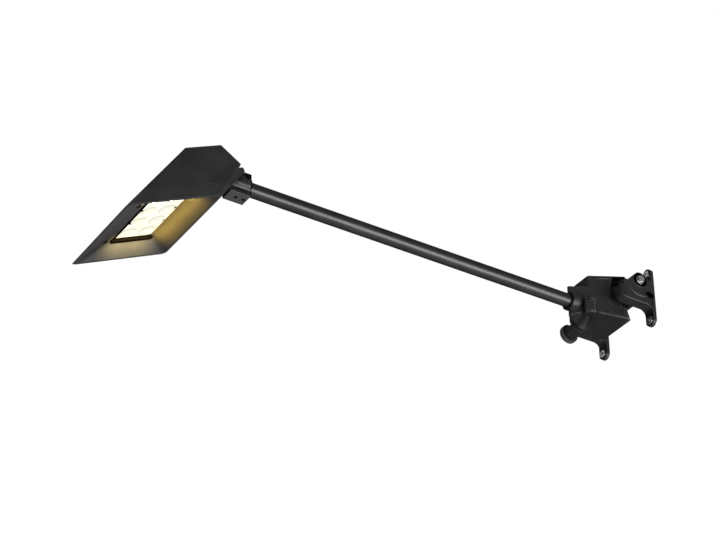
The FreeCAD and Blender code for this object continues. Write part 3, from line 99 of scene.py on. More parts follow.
class ShaderSheet:
    """A material with one Principled shader and short calls for the nodes that feed it."""

    def __init__(self, name: str) -> None:
        """Start the material.

        Args:
            name: the material's name.
        """
        self.material = bpy.data.materials.new(name)
        self.material.use_nodes = True
        self.tree = self.material.node_tree
        self.tree.nodes.clear()
        output = self.add("ShaderNodeOutputMaterial")
        self.shader = self.add("ShaderNodeBsdfPrincipled")
        self.tree.links.new(self.shader.outputs["BSDF"], output.inputs["Surface"])
        self.place = self.add("ShaderNodeTexCoord").outputs["Object"]

    def add(self, kind: str, **settings: object) -> bpy.types.Node:
        """Add a node.

        Args:
            kind: the node's type.
            settings: properties to set on it.

        Returns:
            The node.
        """
        node = self.tree.nodes.new(kind)
        for key, value in settings.items():
            setattr(node, key, value)
        return node

    def feed(self, target: Socket, source: object) -> None:
        """Give an input its value, from a link or as a plain number.

        Args:
            target: the input.
            source: an output socket, a number or a colour.
        """
        if isinstance(source, Socket):
            self.tree.links.new(source, target)
        elif isinstance(source, tuple) and len(source) == 3 and target.type == "RGBA":
            target.default_value = (*source, 1.0)
        else:
            target.default_value = source

    def set(self, **inputs: object) -> None:
        """Set inputs of the shader, with underscores for the spaces in their names.

        Args:
            inputs: values by input name.
        """
        for key, value in inputs.items():
            self.feed(self.shader.inputs[key.replace("_", " ")], value)

    def noise(self, scale: float, detail: float, stretch: Point = EVEN) -> Socket:
        """Return a noise value between 0 and 1.

        Args:
            scale: waves per metre.
            detail: octaves.
            stretch: scale of each axis.

        Returns:
            The value.
        """
        mapping = self.add("ShaderNodeMapping")
        mapping.inputs["Scale"].default_value = stretch
        self.feed(mapping.inputs["Vector"], self.place)
        node = self.add("ShaderNodeTexNoise")
        self.feed(node.inputs["Vector"], mapping.outputs["Vector"])
        node.inputs["Scale"].default_value = scale
        node.inputs["Detail"].default_value = detail
        return node.outputs["Fac"]

    def spread(self, value: Socket, low: float, high: float,
               start: float = 0.3, end: float = 0.7) -> Socket:
        """Map a value to a range.

        Args:
            value: the value.
            low: the result at start.
            high: the result at end.
            start: where the range starts.
            end: where it ends.

        Returns:
            The mapped value.
        """
        node = self.add("ShaderNodeMapRange")
        self.feed(node.inputs["Value"], value)
        for key, number in (("From Min", start), ("From Max", end),
                            ("To Min", low), ("To Max", high)):
            node.inputs[key].default_value = number
        return node.outputs["Result"]

    def blend(self, share: object, first: object, second: object) -> Socket:
        """Mix two colours.

        Args:
            share: how much of the second.
            first: the first colour.
            second: the second colour.

        Returns:
            The mixed colour.
        """
        node = self.add("ShaderNodeMix", data_type="RGBA")
        self.feed(node.inputs["Factor"], share)
        self.feed(node.inputs[MIX_FIRST], first)
        self.feed(node.inputs[MIX_SECOND], second)
        return node.outputs[MIX_RESULT]

    def maths(self, operation: str, first: object, second: object = 0.0) -> Socket:
        """Work out one number from two.

        Args:
            operation: the Math node's operation.
            first: the first number.
            second: the second number, which some operations leave out.

        Returns:
            The result.
        """
        node = self.add("ShaderNodeMath", operation=operation)
        self.feed(node.inputs[0], first)
        self.feed(node.inputs[1], second)
        return node.outputs["Value"]

    def bump(self, height: Socket, depth: float, under: Socket) -> Socket:
        """Return a normal that a height roughens.

        Args:
            height: the height, between 0 and 1.
            depth: how deep that is, in metres.
            under: the normal to add it to.

        Returns:
            The normal.
        """
        node = self.add("ShaderNodeBump")
        node.inputs["Strength"].default_value = 1.0
        node.inputs["Distance"].default_value = depth
        self.feed(node.inputs["Height"], height)
        self.feed(node.inputs["Normal"], under)
        return node.outputs["Normal"]

    def rounded(self, radius: float) -> Socket:
        """Return a normal that turns smoothly over the edges.

        Args:
            radius: the edges' radius in metres.

        Returns:
            The normal.
        """
        node = self.add("ShaderNodeBevel", samples=BEVEL_SAMPLES)
        node.inputs["Radius"].default_value = radius
        return node.outputs["Normal"]

    def edges(self, round_normal: Socket) -> Socket:
        """Return a mask that is 1 on the edges and 0 on flat faces.

        Args:
            round_normal: the normal that rounded() gives.

        Returns:
            The mask.
        """
        flat = self.add("ShaderNodeNewGeometry").outputs["Normal"]
        dot = self.add("ShaderNodeVectorMath", operation="DOT_PRODUCT")
        self.feed(dot.inputs[0], round_normal)
        self.feed(dot.inputs[1], flat)
        return self.spread(dot.outputs["Value"], 1.0, 0.0, *EDGE_TURN)

    def crevice(self, reach: float) -> Socket:
        """Return a mask that is 1 in corners and narrow gaps and 0 in the open; the coat paints
        shade there.

        Args:
            reach: how near a surface has to be to count, in metres.

        Returns:
            The mask.
        """
        node = self.add("ShaderNodeAmbientOcclusion", samples=CREVICE_SAMPLES)
        node.inputs["Distance"].default_value = reach
        return self.spread(node.outputs["AO"], 1.0, 0.0, *CREVICE_OPEN)

    def along(self, way: Point, offset: float) -> Socket:
        """Return how far a point lies along a direction.

        Args:
            way: the direction, of length 1.
            offset: what is added to the distance from the row frame's origin.

        Returns:
            The distance in metres.
        """
        dot = self.add("ShaderNodeVectorMath", operation="DOT_PRODUCT")
        self.feed(dot.inputs[0], self.place)
        dot.inputs[1].default_value = way
        return self.maths("ADD", dot.outputs["Value"], offset)

    def facing_out(self) -> Socket:
        """Return how squarely a face of the lens looks out of the mouth.

        Returns:
            The cosine of the angle: 1 straight out, and less on a slant.
        """
        dot = self.add("ShaderNodeVectorMath", operation="DOT_PRODUCT")
        self.feed(dot.inputs[0], self.add("ShaderNodeTexCoord").outputs["Normal"])
        dot.inputs[1].default_value = MOUTH_WAY
        return dot.outputs["Value"]

    def underside(self) -> Socket:
        """Return a mask of the faces that look down, for the painted tone there.

        Returns:
            1 on them, and 0 elsewhere.
        """
        apart = self.add("ShaderNodeSeparateXYZ")
        self.feed(apart.inputs[0], self.add("ShaderNodeTexCoord").outputs["Normal"])
        return self.spread(self.maths("MULTIPLY", apart.outputs["Z"], -1.0), 0.0, 1.0, *DOWN_TURN)

    def beyond(self, half: float) -> Socket:
        """Return a mask that is 1 where a point lies farther out to either side than a distance.

        Args:
            half: the distance from the middle plane.

        Returns:
            The mask.
        """
        out = self.maths("ABSOLUTE", self.along(X_WAY, 0.0))
        return self.maths("GREATER_THAN", out, half)


@dataclass(frozen=True)
class PaintedShade:
    """A ring or round spot of painted shade on a casting. It darkens the colour and cuts no shape.
    """

    centre: Point
    outer: float
    soft: float
    stretch: Point = FROM_SIDE
    inner: float = NO_HOLE
    side: float = ANYWHERE
    share: float = 0.985

    def mask(self, sheet: ShaderSheet) -> Socket:
        """Return a mask that is the share of painted shade in the spot, and 0 elsewhere.

        Args:
            sheet: the material that shows it.

        Returns:
            The mask.
        """
        mapping = sheet.add("ShaderNodeMapping")
        mapping.inputs["Scale"].default_value = self.stretch
        start = [-c * s for c, s in zip(self.centre, self.stretch)]
        mapping.inputs["Location"].default_value = start
        sheet.feed(mapping.inputs["Vector"], sheet.place)
        size = sheet.add("ShaderNodeVectorMath", operation="LENGTH")
        sheet.feed(size.inputs[0], mapping.outputs["Vector"])
        reach = size.outputs["Value"]
        within = sheet.spread(reach, 1.0, 0.0, self.outer - self.soft, self.outer)
        outside = sheet.spread(reach, 0.0, 1.0, self.inner - self.soft, self.inner)
        ring = sheet.maths("MULTIPLY", sheet.maths("MULTIPLY", within, outside),
                           sheet.beyond(self.side))
        return sheet.maths("MULTIPLY", ring, self.share)


@dataclass(frozen=True)
class Swell:
    """A bump that makes a casting's shallow collar, which runs along the arm, look fuller."""

    axis_z: float
    radius: float
    share: float

    def normal(self, sheet: ShaderSheet, under: Socket) -> Socket:
        """Return the normal of the swollen side.

        Args:
            sheet: the material that shows it.
            under: the normal to add it to.

        Returns:
            The normal.
        """
        off = sheet.along(Z_WAY, -self.axis_z)
        left = sheet.maths("SUBTRACT", self.radius ** 2, sheet.maths("MULTIPLY", off, off))
        height = sheet.maths("SQRT", sheet.maths("MAXIMUM", left, 0.0))
        return sheet.bump(sheet.maths("MULTIPLY", height, self.share), 1.0, under)


@dataclass(frozen=True)
class PowderCoat:
    """Black powder coat: mottled, with edge wear and a painted highlight on its edges, and painted
    shade in its corners and in given spots.
    """

    colour: Colour
    rubbed: Colour
    # The edges' colour: partly edge wear, partly a painted highlight where light catches the
    # rounded edges.
    edge_wear_and_highlight: Colour
    roughness: float
    metal: float
    grain: float
    grain_depth: float
    wave_depth: float
    edge: float
    reach: float
    edge_wear_and_highlight_side: float = ANYWHERE
    gloss: float = 0.05
    edge_tint: Colour = (0.08, 0.08, 0.08)
    # A colour painted on the faces that look down: painted light where it is lighter than the
    # coat, painted shade where it is darker.
    under: Colour = BLACK
    painted_underside_share: float = 0.0
    shade_spots: tuple[PaintedShade, ...] = ()
    swell: Swell | None = None
    mottle: float = 22.0
    mottle_detail: float = 4.0
    grain_detail: float = 3.0
    wave: float = 70.0
    wave_detail: float = 1.0
    darkest: float = 0.86
    palest: float = 1.14
    speck_share: float = 0.35
    edge_wear_and_highlight_share: Range = (0.25, 0.8)
    crevice_shade_share: float = 0.9
    rough_stray: float = 0.04

    def make(self, name: str) -> bpy.types.Material:
        """Return the material.

        Args:
            name: the material's name.

        Returns:
            The material.
        """
        sheet = ShaderSheet(name)
        round_normal = sheet.rounded(self.edge)
        mottle = sheet.noise(self.mottle, self.mottle_detail)
        grain = sheet.noise(self.grain, self.grain_detail)
        wave = sheet.noise(self.wave, self.wave_detail)
        dark = tuple(self.darkest * c for c in self.colour)
        pale = tuple(self.palest * c for c in self.colour)
        coat = sheet.blend(sheet.spread(mottle, 0.0, 1.0), dark, pale)
        specks = sheet.spread(grain, 0.0, self.speck_share, *SPECK_RISE)
        coat = sheet.blend(specks, coat, self.rubbed)
        # Edge wear and a painted highlight: the rounded edges are painted in the edge colour.
        edge_wear_and_highlight_share = sheet.maths("MULTIPLY", sheet.edges(round_normal), sheet.spread(mottle, *self.edge_wear_and_highlight_share))
        edge_wear_and_highlight_mask = sheet.maths("MULTIPLY", edge_wear_and_highlight_share, sheet.beyond(self.edge_wear_and_highlight_side))
        coat = sheet.blend(edge_wear_and_highlight_mask, coat, self.edge_wear_and_highlight)
        # The faces that look down are painted with the under colour, which stands for light or
        # shade falling there.
        if self.painted_underside_share:
            down = sheet.maths("MULTIPLY", sheet.underside(), self.painted_underside_share)
            coat = sheet.blend(down, coat, self.under)
        # Painted shade in the corners and narrow gaps, where shade falls.
        painted_crevice_shade = sheet.maths("MULTIPLY", sheet.crevice(self.reach), self.crevice_shade_share)
        coat = sheet.blend(painted_crevice_shade, coat, BLACK)
        # Spots of painted shade, each darkening the coat.
        for shade_spot in self.shade_spots:
            coat = sheet.blend(shade_spot.mask(sheet), coat, BLACK)
        stray = self.rough_stray
        rough = sheet.maths("ADD",
                            sheet.spread(mottle, self.roughness - stray, self.roughness + stray),
                            sheet.spread(grain, -stray, stray))
        normal = sheet.bump(wave, self.wave_depth, round_normal)
        normal = sheet.bump(grain, self.grain_depth, normal)
        if self.swell:
            normal = self.swell.normal(sheet, normal)
        sheet.set(Base_Color=coat, Roughness=rough, Normal=normal, Metallic=self.metal,
                  Specular_IOR_Level=self.gloss, Specular_Tint=self.edge_tint)
        return sheet.material


@dataclass(frozen=True)
class PlatedMetal:
    """Plated or bare metal with fine turning lines and a little tarnish."""

    colour: Colour
    tarnish: Colour
    roughness: float
    line_scale: float
    line_stretch: Point
    edge: float
    cloud: float = 160.0
    cloud_detail: float = 4.0
    line_detail: float = 2.0
    line_depth: float = 0.00002
    tarnish_share: float = 0.6
    smoother: float = 0.06
    rougher: float = 0.08
    line_stray: float = 0.04

    def make(self, name: str) -> bpy.types.Material:
        """Return the material.

        Args:
            name: the material's name.

        Returns:
            The material.
        """
        sheet = ShaderSheet(name)
        round_normal = sheet.rounded(self.edge)
        cloud = sheet.noise(self.cloud, self.cloud_detail)
        lines = sheet.noise(self.line_scale, self.line_detail, self.line_stretch)
        tone = sheet.blend(sheet.spread(cloud, 0.0, self.tarnish_share), self.colour, self.tarnish)
        rough = sheet.maths("ADD",
                            sheet.spread(cloud, self.roughness - self.smoother,
                                         self.roughness + self.rougher),
                            sheet.spread(lines, -self.line_stray, self.line_stray))
        normal = sheet.bump(lines, self.line_depth, round_normal)
        sheet.set(Base_Color=tone, Metallic=1.0, Roughness=rough, Normal=normal)
        return sheet.material


@dataclass(frozen=True)
class MouldedPlastic:
    """Rubber, nylon, board lacquer or a blackened fitting: matt, with a fine grain."""

    colour: Colour
    shade: Colour
    roughness: float
    gloss: float
    grain: float
    grain_depth: float
    cloud: float = 60.0
    cloud_detail: float = 3.0
    grain_detail: float = 2.0
    edge: float = 0.0003
    rough_stray: float = 0.05

    def make(self, name: str) -> bpy.types.Material:
        """Return the material.

        Args:
            name: the material's name.

        Returns:
            The material.
        """
        sheet = ShaderSheet(name)
        cloud = sheet.noise(self.cloud, self.cloud_detail)
        grain = sheet.noise(self.grain, self.grain_detail)
        tone = sheet.blend(sheet.spread(cloud, 0.0, 1.0), self.colour, self.shade)
        rough = sheet.spread(grain, self.roughness - self.rough_stray,
                             self.roughness + self.rough_stray)
        normal = sheet.bump(grain, self.grain_depth, sheet.rounded(self.edge))
        sheet.set(Base_Color=tone, Roughness=rough, Normal=normal, Specular_IOR_Level=self.gloss)
        return sheet.material


@dataclass(frozen=True)
class LitPlastic:
    """Clear plastic over a lit source: it glows almost evenly, a little warmer in places."""

    glow: Colour
    shade: Colour
    strength: float
    flank: float
    cloud: float
    cloud_detail: float = 2.0
    unlit: Colour = (0.04, 0.04, 0.03)
    roughness: float = 0.2
    edge: float = 0.0008

    def make(self, name: str) -> bpy.types.Material:
        """Return the material.

        Args:
            name: the material's name.

        Returns:
            The material.
        """
        sheet = ShaderSheet(name)
        cloud = sheet.noise(self.cloud, self.cloud_detail)
        level = sheet.spread(sheet.facing_out(), self.flank, self.strength, *LENS_SLANT)
        tone = sheet.blend(sheet.spread(cloud, 0.0, 1.0), self.glow, self.shade)
        sheet.set(Base_Color=self.unlit, Roughness=self.roughness, Emission_Color=tone,
                  Emission_Strength=level, Normal=sheet.rounded(self.edge))
        return sheet.material


CASTING = PowderCoat(colour=(0.034, 0.034, 0.0348), rubbed=(0.07, 0.07, 0.07),
                     edge_wear_and_highlight=(0.05, 0.05, 0.05), roughness=0.5, metal=0.7, grain=1100.0,
                     grain_depth=0.00004, wave_depth=0.0002, edge=0.0018, reach=0.012)
ZINC = PlatedMetal(colour=(0.6, 0.6, 0.59), tarnish=(0.3, 0.29, 0.27), roughness=0.3,
                   line_scale=900.0, line_stretch=(0.15, 1.0, 1.0), edge=0.0007)
# Near-black and without gloss, for fittings in the mouth: partly their own dark colour, partly
# painted shade, so that they show none of the panel's light.
SHADE_BLACK = MouldedPlastic(colour=BLACK, shade=BLACK, roughness=0.9, gloss=0.0, grain=900.0,
                            grain_depth=0.00001)

# Spots of painted shade on the castings, where shade falls round bolts, by the rail, in gaps,
# recesses and screw wells; they cut no shape.
PIVOT_RING_SHADE = PaintedShade(centre=(0.0, -0.034, 0.024), inner=0.0088, outer=0.016, soft=0.0012,
                    side=0.0785)
RAIL_PAINTED_SHADE = PaintedShade(centre=(0.0, -0.0125, -0.002), stretch=(0.0, 1.0, 1.7), outer=0.0135,
                     soft=0.006, side=0.0785)
KNUCKLE_PAINTED_SHADE = PaintedShade(centre=(0.0, -0.8425, 0.003), outer=0.0085, soft=0.0025, side=0.0145)
COLLAR_SHADOW = PaintedShade(centre=(0.0, -0.855, -0.0305), stretch=(0.0, 0.08, 1.0), outer=0.0019,
                       soft=0.001, side=0.0145)
COLLAR_END_SHADE = PaintedShade(centre=(0.0, -0.8358, -0.014), stretch=(0.0, 1.0, 0.075), outer=0.003,
                    soft=0.0012, side=0.004)
RECESS_SHADOW = PaintedShade(centre=(0.0, -0.062, 0.0275), outer=0.0085, soft=0.0075, side=0.035)
FAIRING_SHADOW = PaintedShade(centre=(0.003, -0.103, -0.046), stretch=EVEN, outer=0.019, soft=0.008,
                        share=0.42)
SCREW_WELL_SHADES = tuple(PaintedShade(centre=(x, -1.0692, -0.171), stretch=EVEN, outer=0.0085, soft=0.003,
                           share=0.8) for x in (-0.062, 0.062))
COLLAR = Swell(axis_z=-0.013, radius=0.0186, share=0.8)

FINISHES = {
    Slot.CASTING: CASTING,
    Slot.PIPE: PowderCoat(colour=(0.041, 0.041, 0.0415), rubbed=(0.05, 0.05, 0.05),
                          edge_wear_and_highlight=(0.05, 0.05, 0.05), roughness=0.41, metal=0.85, grain=1500.0,
                          grain_depth=0.00002, wave_depth=0.0001, edge=0.0006, reach=0.008),
    Slot.ZINC: ZINC,
    Slot.RUBBER: MouldedPlastic(colour=(0.015, 0.015, 0.015), shade=(0.022, 0.022, 0.021),
                                roughness=0.8, gloss=0.2, grain=1500.0, grain_depth=0.00004),
    Slot.NYLON: MouldedPlastic(colour=(0.78, 0.77, 0.73), shade=(0.72, 0.7, 0.65),
                               roughness=0.5, gloss=0.4, grain=1200.0, grain_depth=0.00002),
    Slot.BRASS: PlatedMetal(colour=(0.75, 0.56, 0.26), tarnish=(0.5, 0.36, 0.17), roughness=0.3,
                            line_scale=1200.0, line_stretch=(1.0, 0.2, 1.0), edge=0.0003),
    Slot.BOARD: MouldedPlastic(colour=(0.84, 0.84, 0.81), shade=(0.8, 0.8, 0.76),
                               roughness=0.4, gloss=0.5, grain=700.0, grain_depth=0.00001),
    Slot.ALUMINIUM: PlatedMetal(colour=(0.74, 0.74, 0.75), tarnish=(0.6, 0.6, 0.61),
                                roughness=0.38, line_scale=700.0,
                                line_stretch=(0.05, 1.0, 1.0), edge=0.0004),
    Slot.LENS: LitPlastic(glow=(0.98, 0.99, 0.9), shade=(0.97, 0.93, 0.68), strength=0.95,
                          flank=0.7, cloud=55.0),
    Slot.CHIP: LitPlastic(glow=(1.0, 0.9, 0.55), shade=(1.0, 0.82, 0.4), strength=1.6,
                          flank=1.6, cloud=300.0),
}
OWN_FINISHES = {
    # The knuckle: its faces that look down are painted lighter, a painted light from below, with
    # painted shade in its pocket, under its collar and at its end.
    "knuckle_block": replace(CASTING, roughness=0.45, under=(0.1, 0.1, 0.1), painted_underside_share=0.8,
                             swell=COLLAR, shade_spots=(KNUCKLE_PAINTED_SHADE, COLLAR_SHADOW, COLLAR_END_SHADE)),
    # The bracket: lighter edges, partly wear and partly a painted highlight, and painted shade
    # round the pivot bolt and by the rail.
    "wall_bracket": replace(CASTING, edge_wear_and_highlight=(0.13, 0.13, 0.13), edge=0.003,
                            shade_spots=(PIVOT_RING_SHADE, RAIL_PAINTED_SHADE)),
    "foot_bushings": replace(ZINC, colour=(0.42, 0.42, 0.41), tarnish=(0.2, 0.195, 0.18)),
    # The box: bright edges, partly wear and mostly a painted highlight, and painted shade on its
    # faces that look down, in the recess and on the hub's fairing.
    "junction_box": replace(CASTING, colour=(0.039, 0.039, 0.0398), edge_wear_and_highlight=(0.26, 0.26, 0.26),
                            edge=0.006, reach=0.007, edge_wear_and_highlight_side=0.03, painted_underside_share=0.34,
                            shade_spots=(RECESS_SHADOW, FAIRING_SHADOW)),
    # The plug: a lighter copy of the casting's coat, which is painted light.
    "conduit_plug": replace(CASTING, colour=(0.075, 0.075, 0.076)),
    # The bezel: painted shade in its screw wells.
    "bezel_frame": replace(CASTING, gloss=0.22, edge_tint=(0.45, 0.45, 0.48),
                           shade_spots=SCREW_WELL_SHADES),
    # The rails' and the screws' near-black: partly their own dark colour, partly painted shade in
    # the mouth.
    "lens_rails": replace(SHADE_BLACK, colour=(0.0012, 0.001, 0.0007),
                          shade=(0.001, 0.0008, 0.0006)),
    "lens_screws": replace(SHADE_BLACK, colour=(0.006, 0.006, 0.005),
                           shade=(0.005, 0.005, 0.004)),
    "bezel_screws": replace(SHADE_BLACK, colour=(0.011, 0.011, 0.011),
                            shade=(0.009, 0.009, 0.009)),
}


class Workshop:
    """The finishes made once, and the calls that dress a CAD node or hand over a new piece."""

    def __init__(self, nodes: dict[str, bpy.types.Object], subparts: list[dict]) -> None:
        """Make every finish.

        Args:
            nodes: the CAD nodes by name.
            subparts: the record's rows of node and slot.
        """
        self.nodes = nodes
        self.slots = {row["node"]: Slot(row["material_slot"]) for row in subparts}
        self.materials = {slot: finish.make(slot.value + "_finish")
                          for slot, finish in FINISHES.items()}
        self.own = {name: finish.make(name + "_finish") for name, finish in OWN_FINISHES.items()}

    def dress(self, name: str) -> None:
        """Give a CAD node its own finish, or its slot's.

        Args:
            name: the node.
        """
        data = self.nodes[name].data
        data.materials.clear()
        data.materials.append(self.own.get(name) or self.materials[self.slots[name]])
        LOG.info("dressed %s", name)

    def hand_over(self, name: str, bm: bmesh.types.BMesh, slot: Slot, body: Body) -> None:
        """Turn a bmesh into a new piece of the light, with its own finish or its slot's.

        Args:
            name: the piece's name.
            bm: its shape, freed here.
            slot: the slot that it belongs to.
            body: the body that it rides on.
        """
        mesh = bpy.data.meshes.new(name)
        bm.to_mesh(mesh)
        bm.free()
        mesh.materials.append(self.own.get(name) or self.materials[slot])
        piece = bpy.data.objects.new(name, mesh)
        bpy.context.scene.collection.objects.link(piece)
        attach(piece, body.value)
        LOG.info("made %s: %d faces", name, len(mesh.polygons))


@dataclass
class WallMount:
    """The bracket on the wall with what is fixed to it."""

    body: Body = Body.WALL
    names: tuple[str, ...] = ("wall_bracket", "foot_bushings", "pivot_bolts", "pivot_washers",
                              "friction_washers", "pivot_nuts", "wire_grommet")
    membrane_at: Point = (0.0, -0.004, 0.029)
    membrane_radius: float = 0.00865
    membrane_thick: float = 0.0008
    membrane_ring: Range = (0.0035, 0.0055)
    membrane_rise: float = 0.0007
    membrane_steps: int = 48
    membrane_merge: float = 1e-6

    def build(self, shop: Workshop) -> None:
        """Dress the bracket and close its grommet.

        Args:
            shop: the workshop.
        """
        for name in self.names:
            shop.dress(name)
        shop.hand_over("grommet_membrane", self.membrane(), Slot.RUBBER, self.body)

    def membrane(self) -> bmesh.types.BMesh:
        """Return the rubber skin that closes the grommet until wires are drawn in.

        Returns:
            A thin disc with a raised ring.
        """
        inner, outer = self.membrane_ring
        front = -self.membrane_thick / 2
        proud = front - self.membrane_rise
        profile = [(0.0, front), (inner, front), (inner, proud), (outer, proud), (outer, front),
                   (self.membrane_radius, front), (self.membrane_radius, -front), (0.0, -front)]
        bm = bmesh.new()
        verts = [bm.verts.new((r, y, 0.0)) for r, y in profile]
        edges = [bm.edges.new(pair) for pair in zip(verts, verts[1:])]
        bmesh.ops.spin(bm, geom=verts + edges, cent=(0.0, 0.0, 0.0), axis=(0.0, 1.0, 0.0),
                       angle=math.tau, steps=self.membrane_steps, use_merge=True)
        bmesh.ops.remove_doubles(bm, verts=bm.verts, dist=self.membrane_merge)
        bmesh.ops.recalc_face_normals(bm, faces=bm.faces)
        bmesh.ops.translate(bm, verts=bm.verts, vec=self.membrane_at)
        return bm


@dataclass
class ArmBox:
    """The junction box with its cover, plug and wiring, and the pipe."""

    body: Body = Body.ARM
    names: tuple[str, ...] = ("junction_box", "box_cover", "box_gasket", "box_cover_screws",
                              "arm_pipe", "pipe_set_screws", "conduit_plug", "plug_seal",
                              "rear_grommet", "terminal_block", "terminal_screws",
                              "ground_screw", "arm_lead", "lead_clamp")

    def build(self, shop: Workshop) -> None:
        """Dress the box and the pipe.

        Args:
            shop: the workshop.
        """
        for name in self.names:
            shop.dress(name)


@dataclass
class Knuckle:
    """The block on the end of the pipe."""

    body: Body = Body.KNUCKLE
    names: tuple[str, ...] = ("knuckle_block", "knuckle_set_screws")

    def build(self, shop: Workshop) -> None:
        """Dress the knuckle.

        Args:
            shop: the workshop.
        """
        for name in self.names:
            shop.dress(name)


@dataclass
class Head:
    """The wedge-shaped head with its mouth and LED panel."""

    body: Body = Body.HEAD
    names: tuple[str, ...] = ("head_housing", "head_hinge_bolt", "head_hinge_nut",
                              "head_hinge_washers", "bezel_frame", "bezel_gasket",
                              "bezel_screws", "lens_plate", "lens_screws", "led_board",
                              "led_chips", "led_tray", "tray_screws", "led_driver",
                              "driver_screws")
    hinge: Point = (0.0, -0.893, -0.027)
    hinge_from_lip: Range = (0.2732, 0.0688)
    tilt_deg: float = 25.7
    glow_drop: float = 0.006
    glow_height: float = 0.005
    glow_rise: float = 0.14
    rear_glow_y: float = 0.105
    rear_glow_width: float = 0.145
    rear_glow: Colour = (1.0, 0.64, 0.1)
    rear_watts: float = 0.36
    side_glow_x: float = 0.03
    side_glow_y: float = 0.109
    side_glow_length: float = 0.084
    side_glow: Colour = (1.0, 0.77, 0.31)
    side_watts: float = 0.31
    end_spread_deg: float = 40.0
    side_spread_deg: float = 66.0
    side_rail: tuple[Range, ...] = ((0.0724, 0.0248), (0.0724, 0.0184), (0.0802, 0.0184),
                                    (0.0755, 0.0248))
    front_rail: tuple[Range, ...] = ((0.0801, 0.0248), (0.0801, 0.0228), (0.0727, 0.0228),
                                     (0.0785, 0.0248))
    rail_front: float = 0.0725
    rail_rear: float = 0.156
    rail_edge: float = 0.0005
    rail_edge_steps: int = 2

    def place(self) -> Matrix:
        """Return the transform from the head's own frame to the row frame."""
        along, up = self.hinge_from_lip
        return (Matrix.Translation(self.hinge)
                @ Matrix.Rotation(math.radians(self.tilt_deg), 4, "X")
                @ Matrix.Translation((0.0, -along, -up)))

    def build(self, shop: Workshop) -> None:
        """Dress the head, add its lens rails and light its mouth.

        Args:
            shop: the workshop.
        """
        for name in self.names:
            shop.dress(name)
        shop.hand_over("lens_rails", self.lens_rails(), Slot.RUBBER, self.body)
        self.light_mouth()

    def lens_rails(self) -> bmesh.types.BMesh:
        """Return the rails that hold the lens plate by the mouth's sides and front; their
        near-black is partly painted shade.

        Returns:
            Three closed bars with rounded edges.
        """
        bm = bmesh.new()
        half = self.side_rail[0][0]
        rails = [([(side * x, self.rail_front, z) for x, z in self.side_rail],
                  (0.0, self.rail_rear - self.rail_front, 0.0)) for side in (-1.0, 1.0)]
        rails.append(([(-half, y, z) for y, z in self.front_rail], (2.0 * half, 0.0, 0.0)))
        for outline, run in rails:
            face = bm.faces.new([bm.verts.new(point) for point in outline])
            grown = bmesh.ops.extrude_face_region(bm, geom=[face])["geom"]
            ends = [item for item in grown if isinstance(item, bmesh.types.BMVert)]
            bmesh.ops.translate(bm, verts=ends, vec=run)
        bmesh.ops.recalc_face_normals(bm, faces=bm.faces)
        bmesh.ops.bevel(bm, geom=bm.edges, offset=self.rail_edge, segments=self.rail_edge_steps,
                        profile=0.5, affect="EDGES", material=-1)
        bmesh.ops.transform(bm, matrix=self.place(), verts=bm.verts)
        return bm

    def light_mouth(self) -> None:
        """Add the lamps that stand for the LEDs' light on the mouth's rear and side walls."""
        self.glow("rear_glow", (0.0, self.rear_glow_y, self.glow_drop),
                  (0.0, 1.0, self.glow_rise), self.rear_glow_width, self.rear_glow,
                  self.rear_watts, self.end_spread_deg)
        for name, side in (("left_glow", -1.0), ("right_glow", 1.0)):
            self.glow(name, (side * self.side_glow_x, self.side_glow_y, self.glow_drop),
                      (side, 0.0, self.glow_rise), self.side_glow_length, self.side_glow,
                      self.side_watts, self.side_spread_deg)

    def glow(self, name: str, place: Point, way: Point, width: float, colour: Colour,
             watts: float, spread_deg: float) -> None:
        """Add one strip lamp inside the mouth. It rides on the head.

        Args:
            name: the lamp's name.
            place: its centre in the head's own frame.
            way: the way that it shines.
            width: its length across the way.
            colour: its colour.
            watts: its power.
            spread_deg: how wide its beam is.
        """
        lamp = bpy.data.lights.new(name, "AREA")
        lamp.shape = "RECTANGLE"
        lamp.size = width
        lamp.size_y = self.glow_height
        lamp.energy = watts
        lamp.color = colour
        lamp.spread = math.radians(spread_deg)
        glow = bpy.data.objects.new(name, lamp)
        bpy.context.scene.collection.objects.link(glow)
        turn = Vector(way).to_track_quat("-Z", "Y").to_matrix().to_4x4()
        glow.matrix_world = self.place() @ Matrix.Translation(place) @ turn
        glow.visible_camera = False
        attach(glow, self.body.value)


@dataclass(frozen=True)
class SoftLamp:
    """A soft rectangular lamp: its size is its width across the arm and its length along it."""

    name: str
    place: Point
    target: Point
    size: Range
    watts: float

    def hang(self) -> None:
        """Add the lamp to the scene."""
        data = bpy.data.lights.new(self.name, "AREA")
        data.shape = "RECTANGLE"
        data.size, data.size_y = self.size
        data.energy = self.watts
        lamp = bpy.data.objects.new(self.name, data)
        bpy.context.scene.collection.objects.link(lamp)
        away = (Vector(self.place) - Vector(self.target)).normalized()
        along = (Vector((0.0, 1.0, 0.0)) - away * away.y).normalized()
        across = along.cross(away)
        turn = Matrix((across, along, away)).transposed().to_4x4()
        lamp.matrix_world = Matrix.Translation(self.place) @ turn
        lamp.visible_camera = False


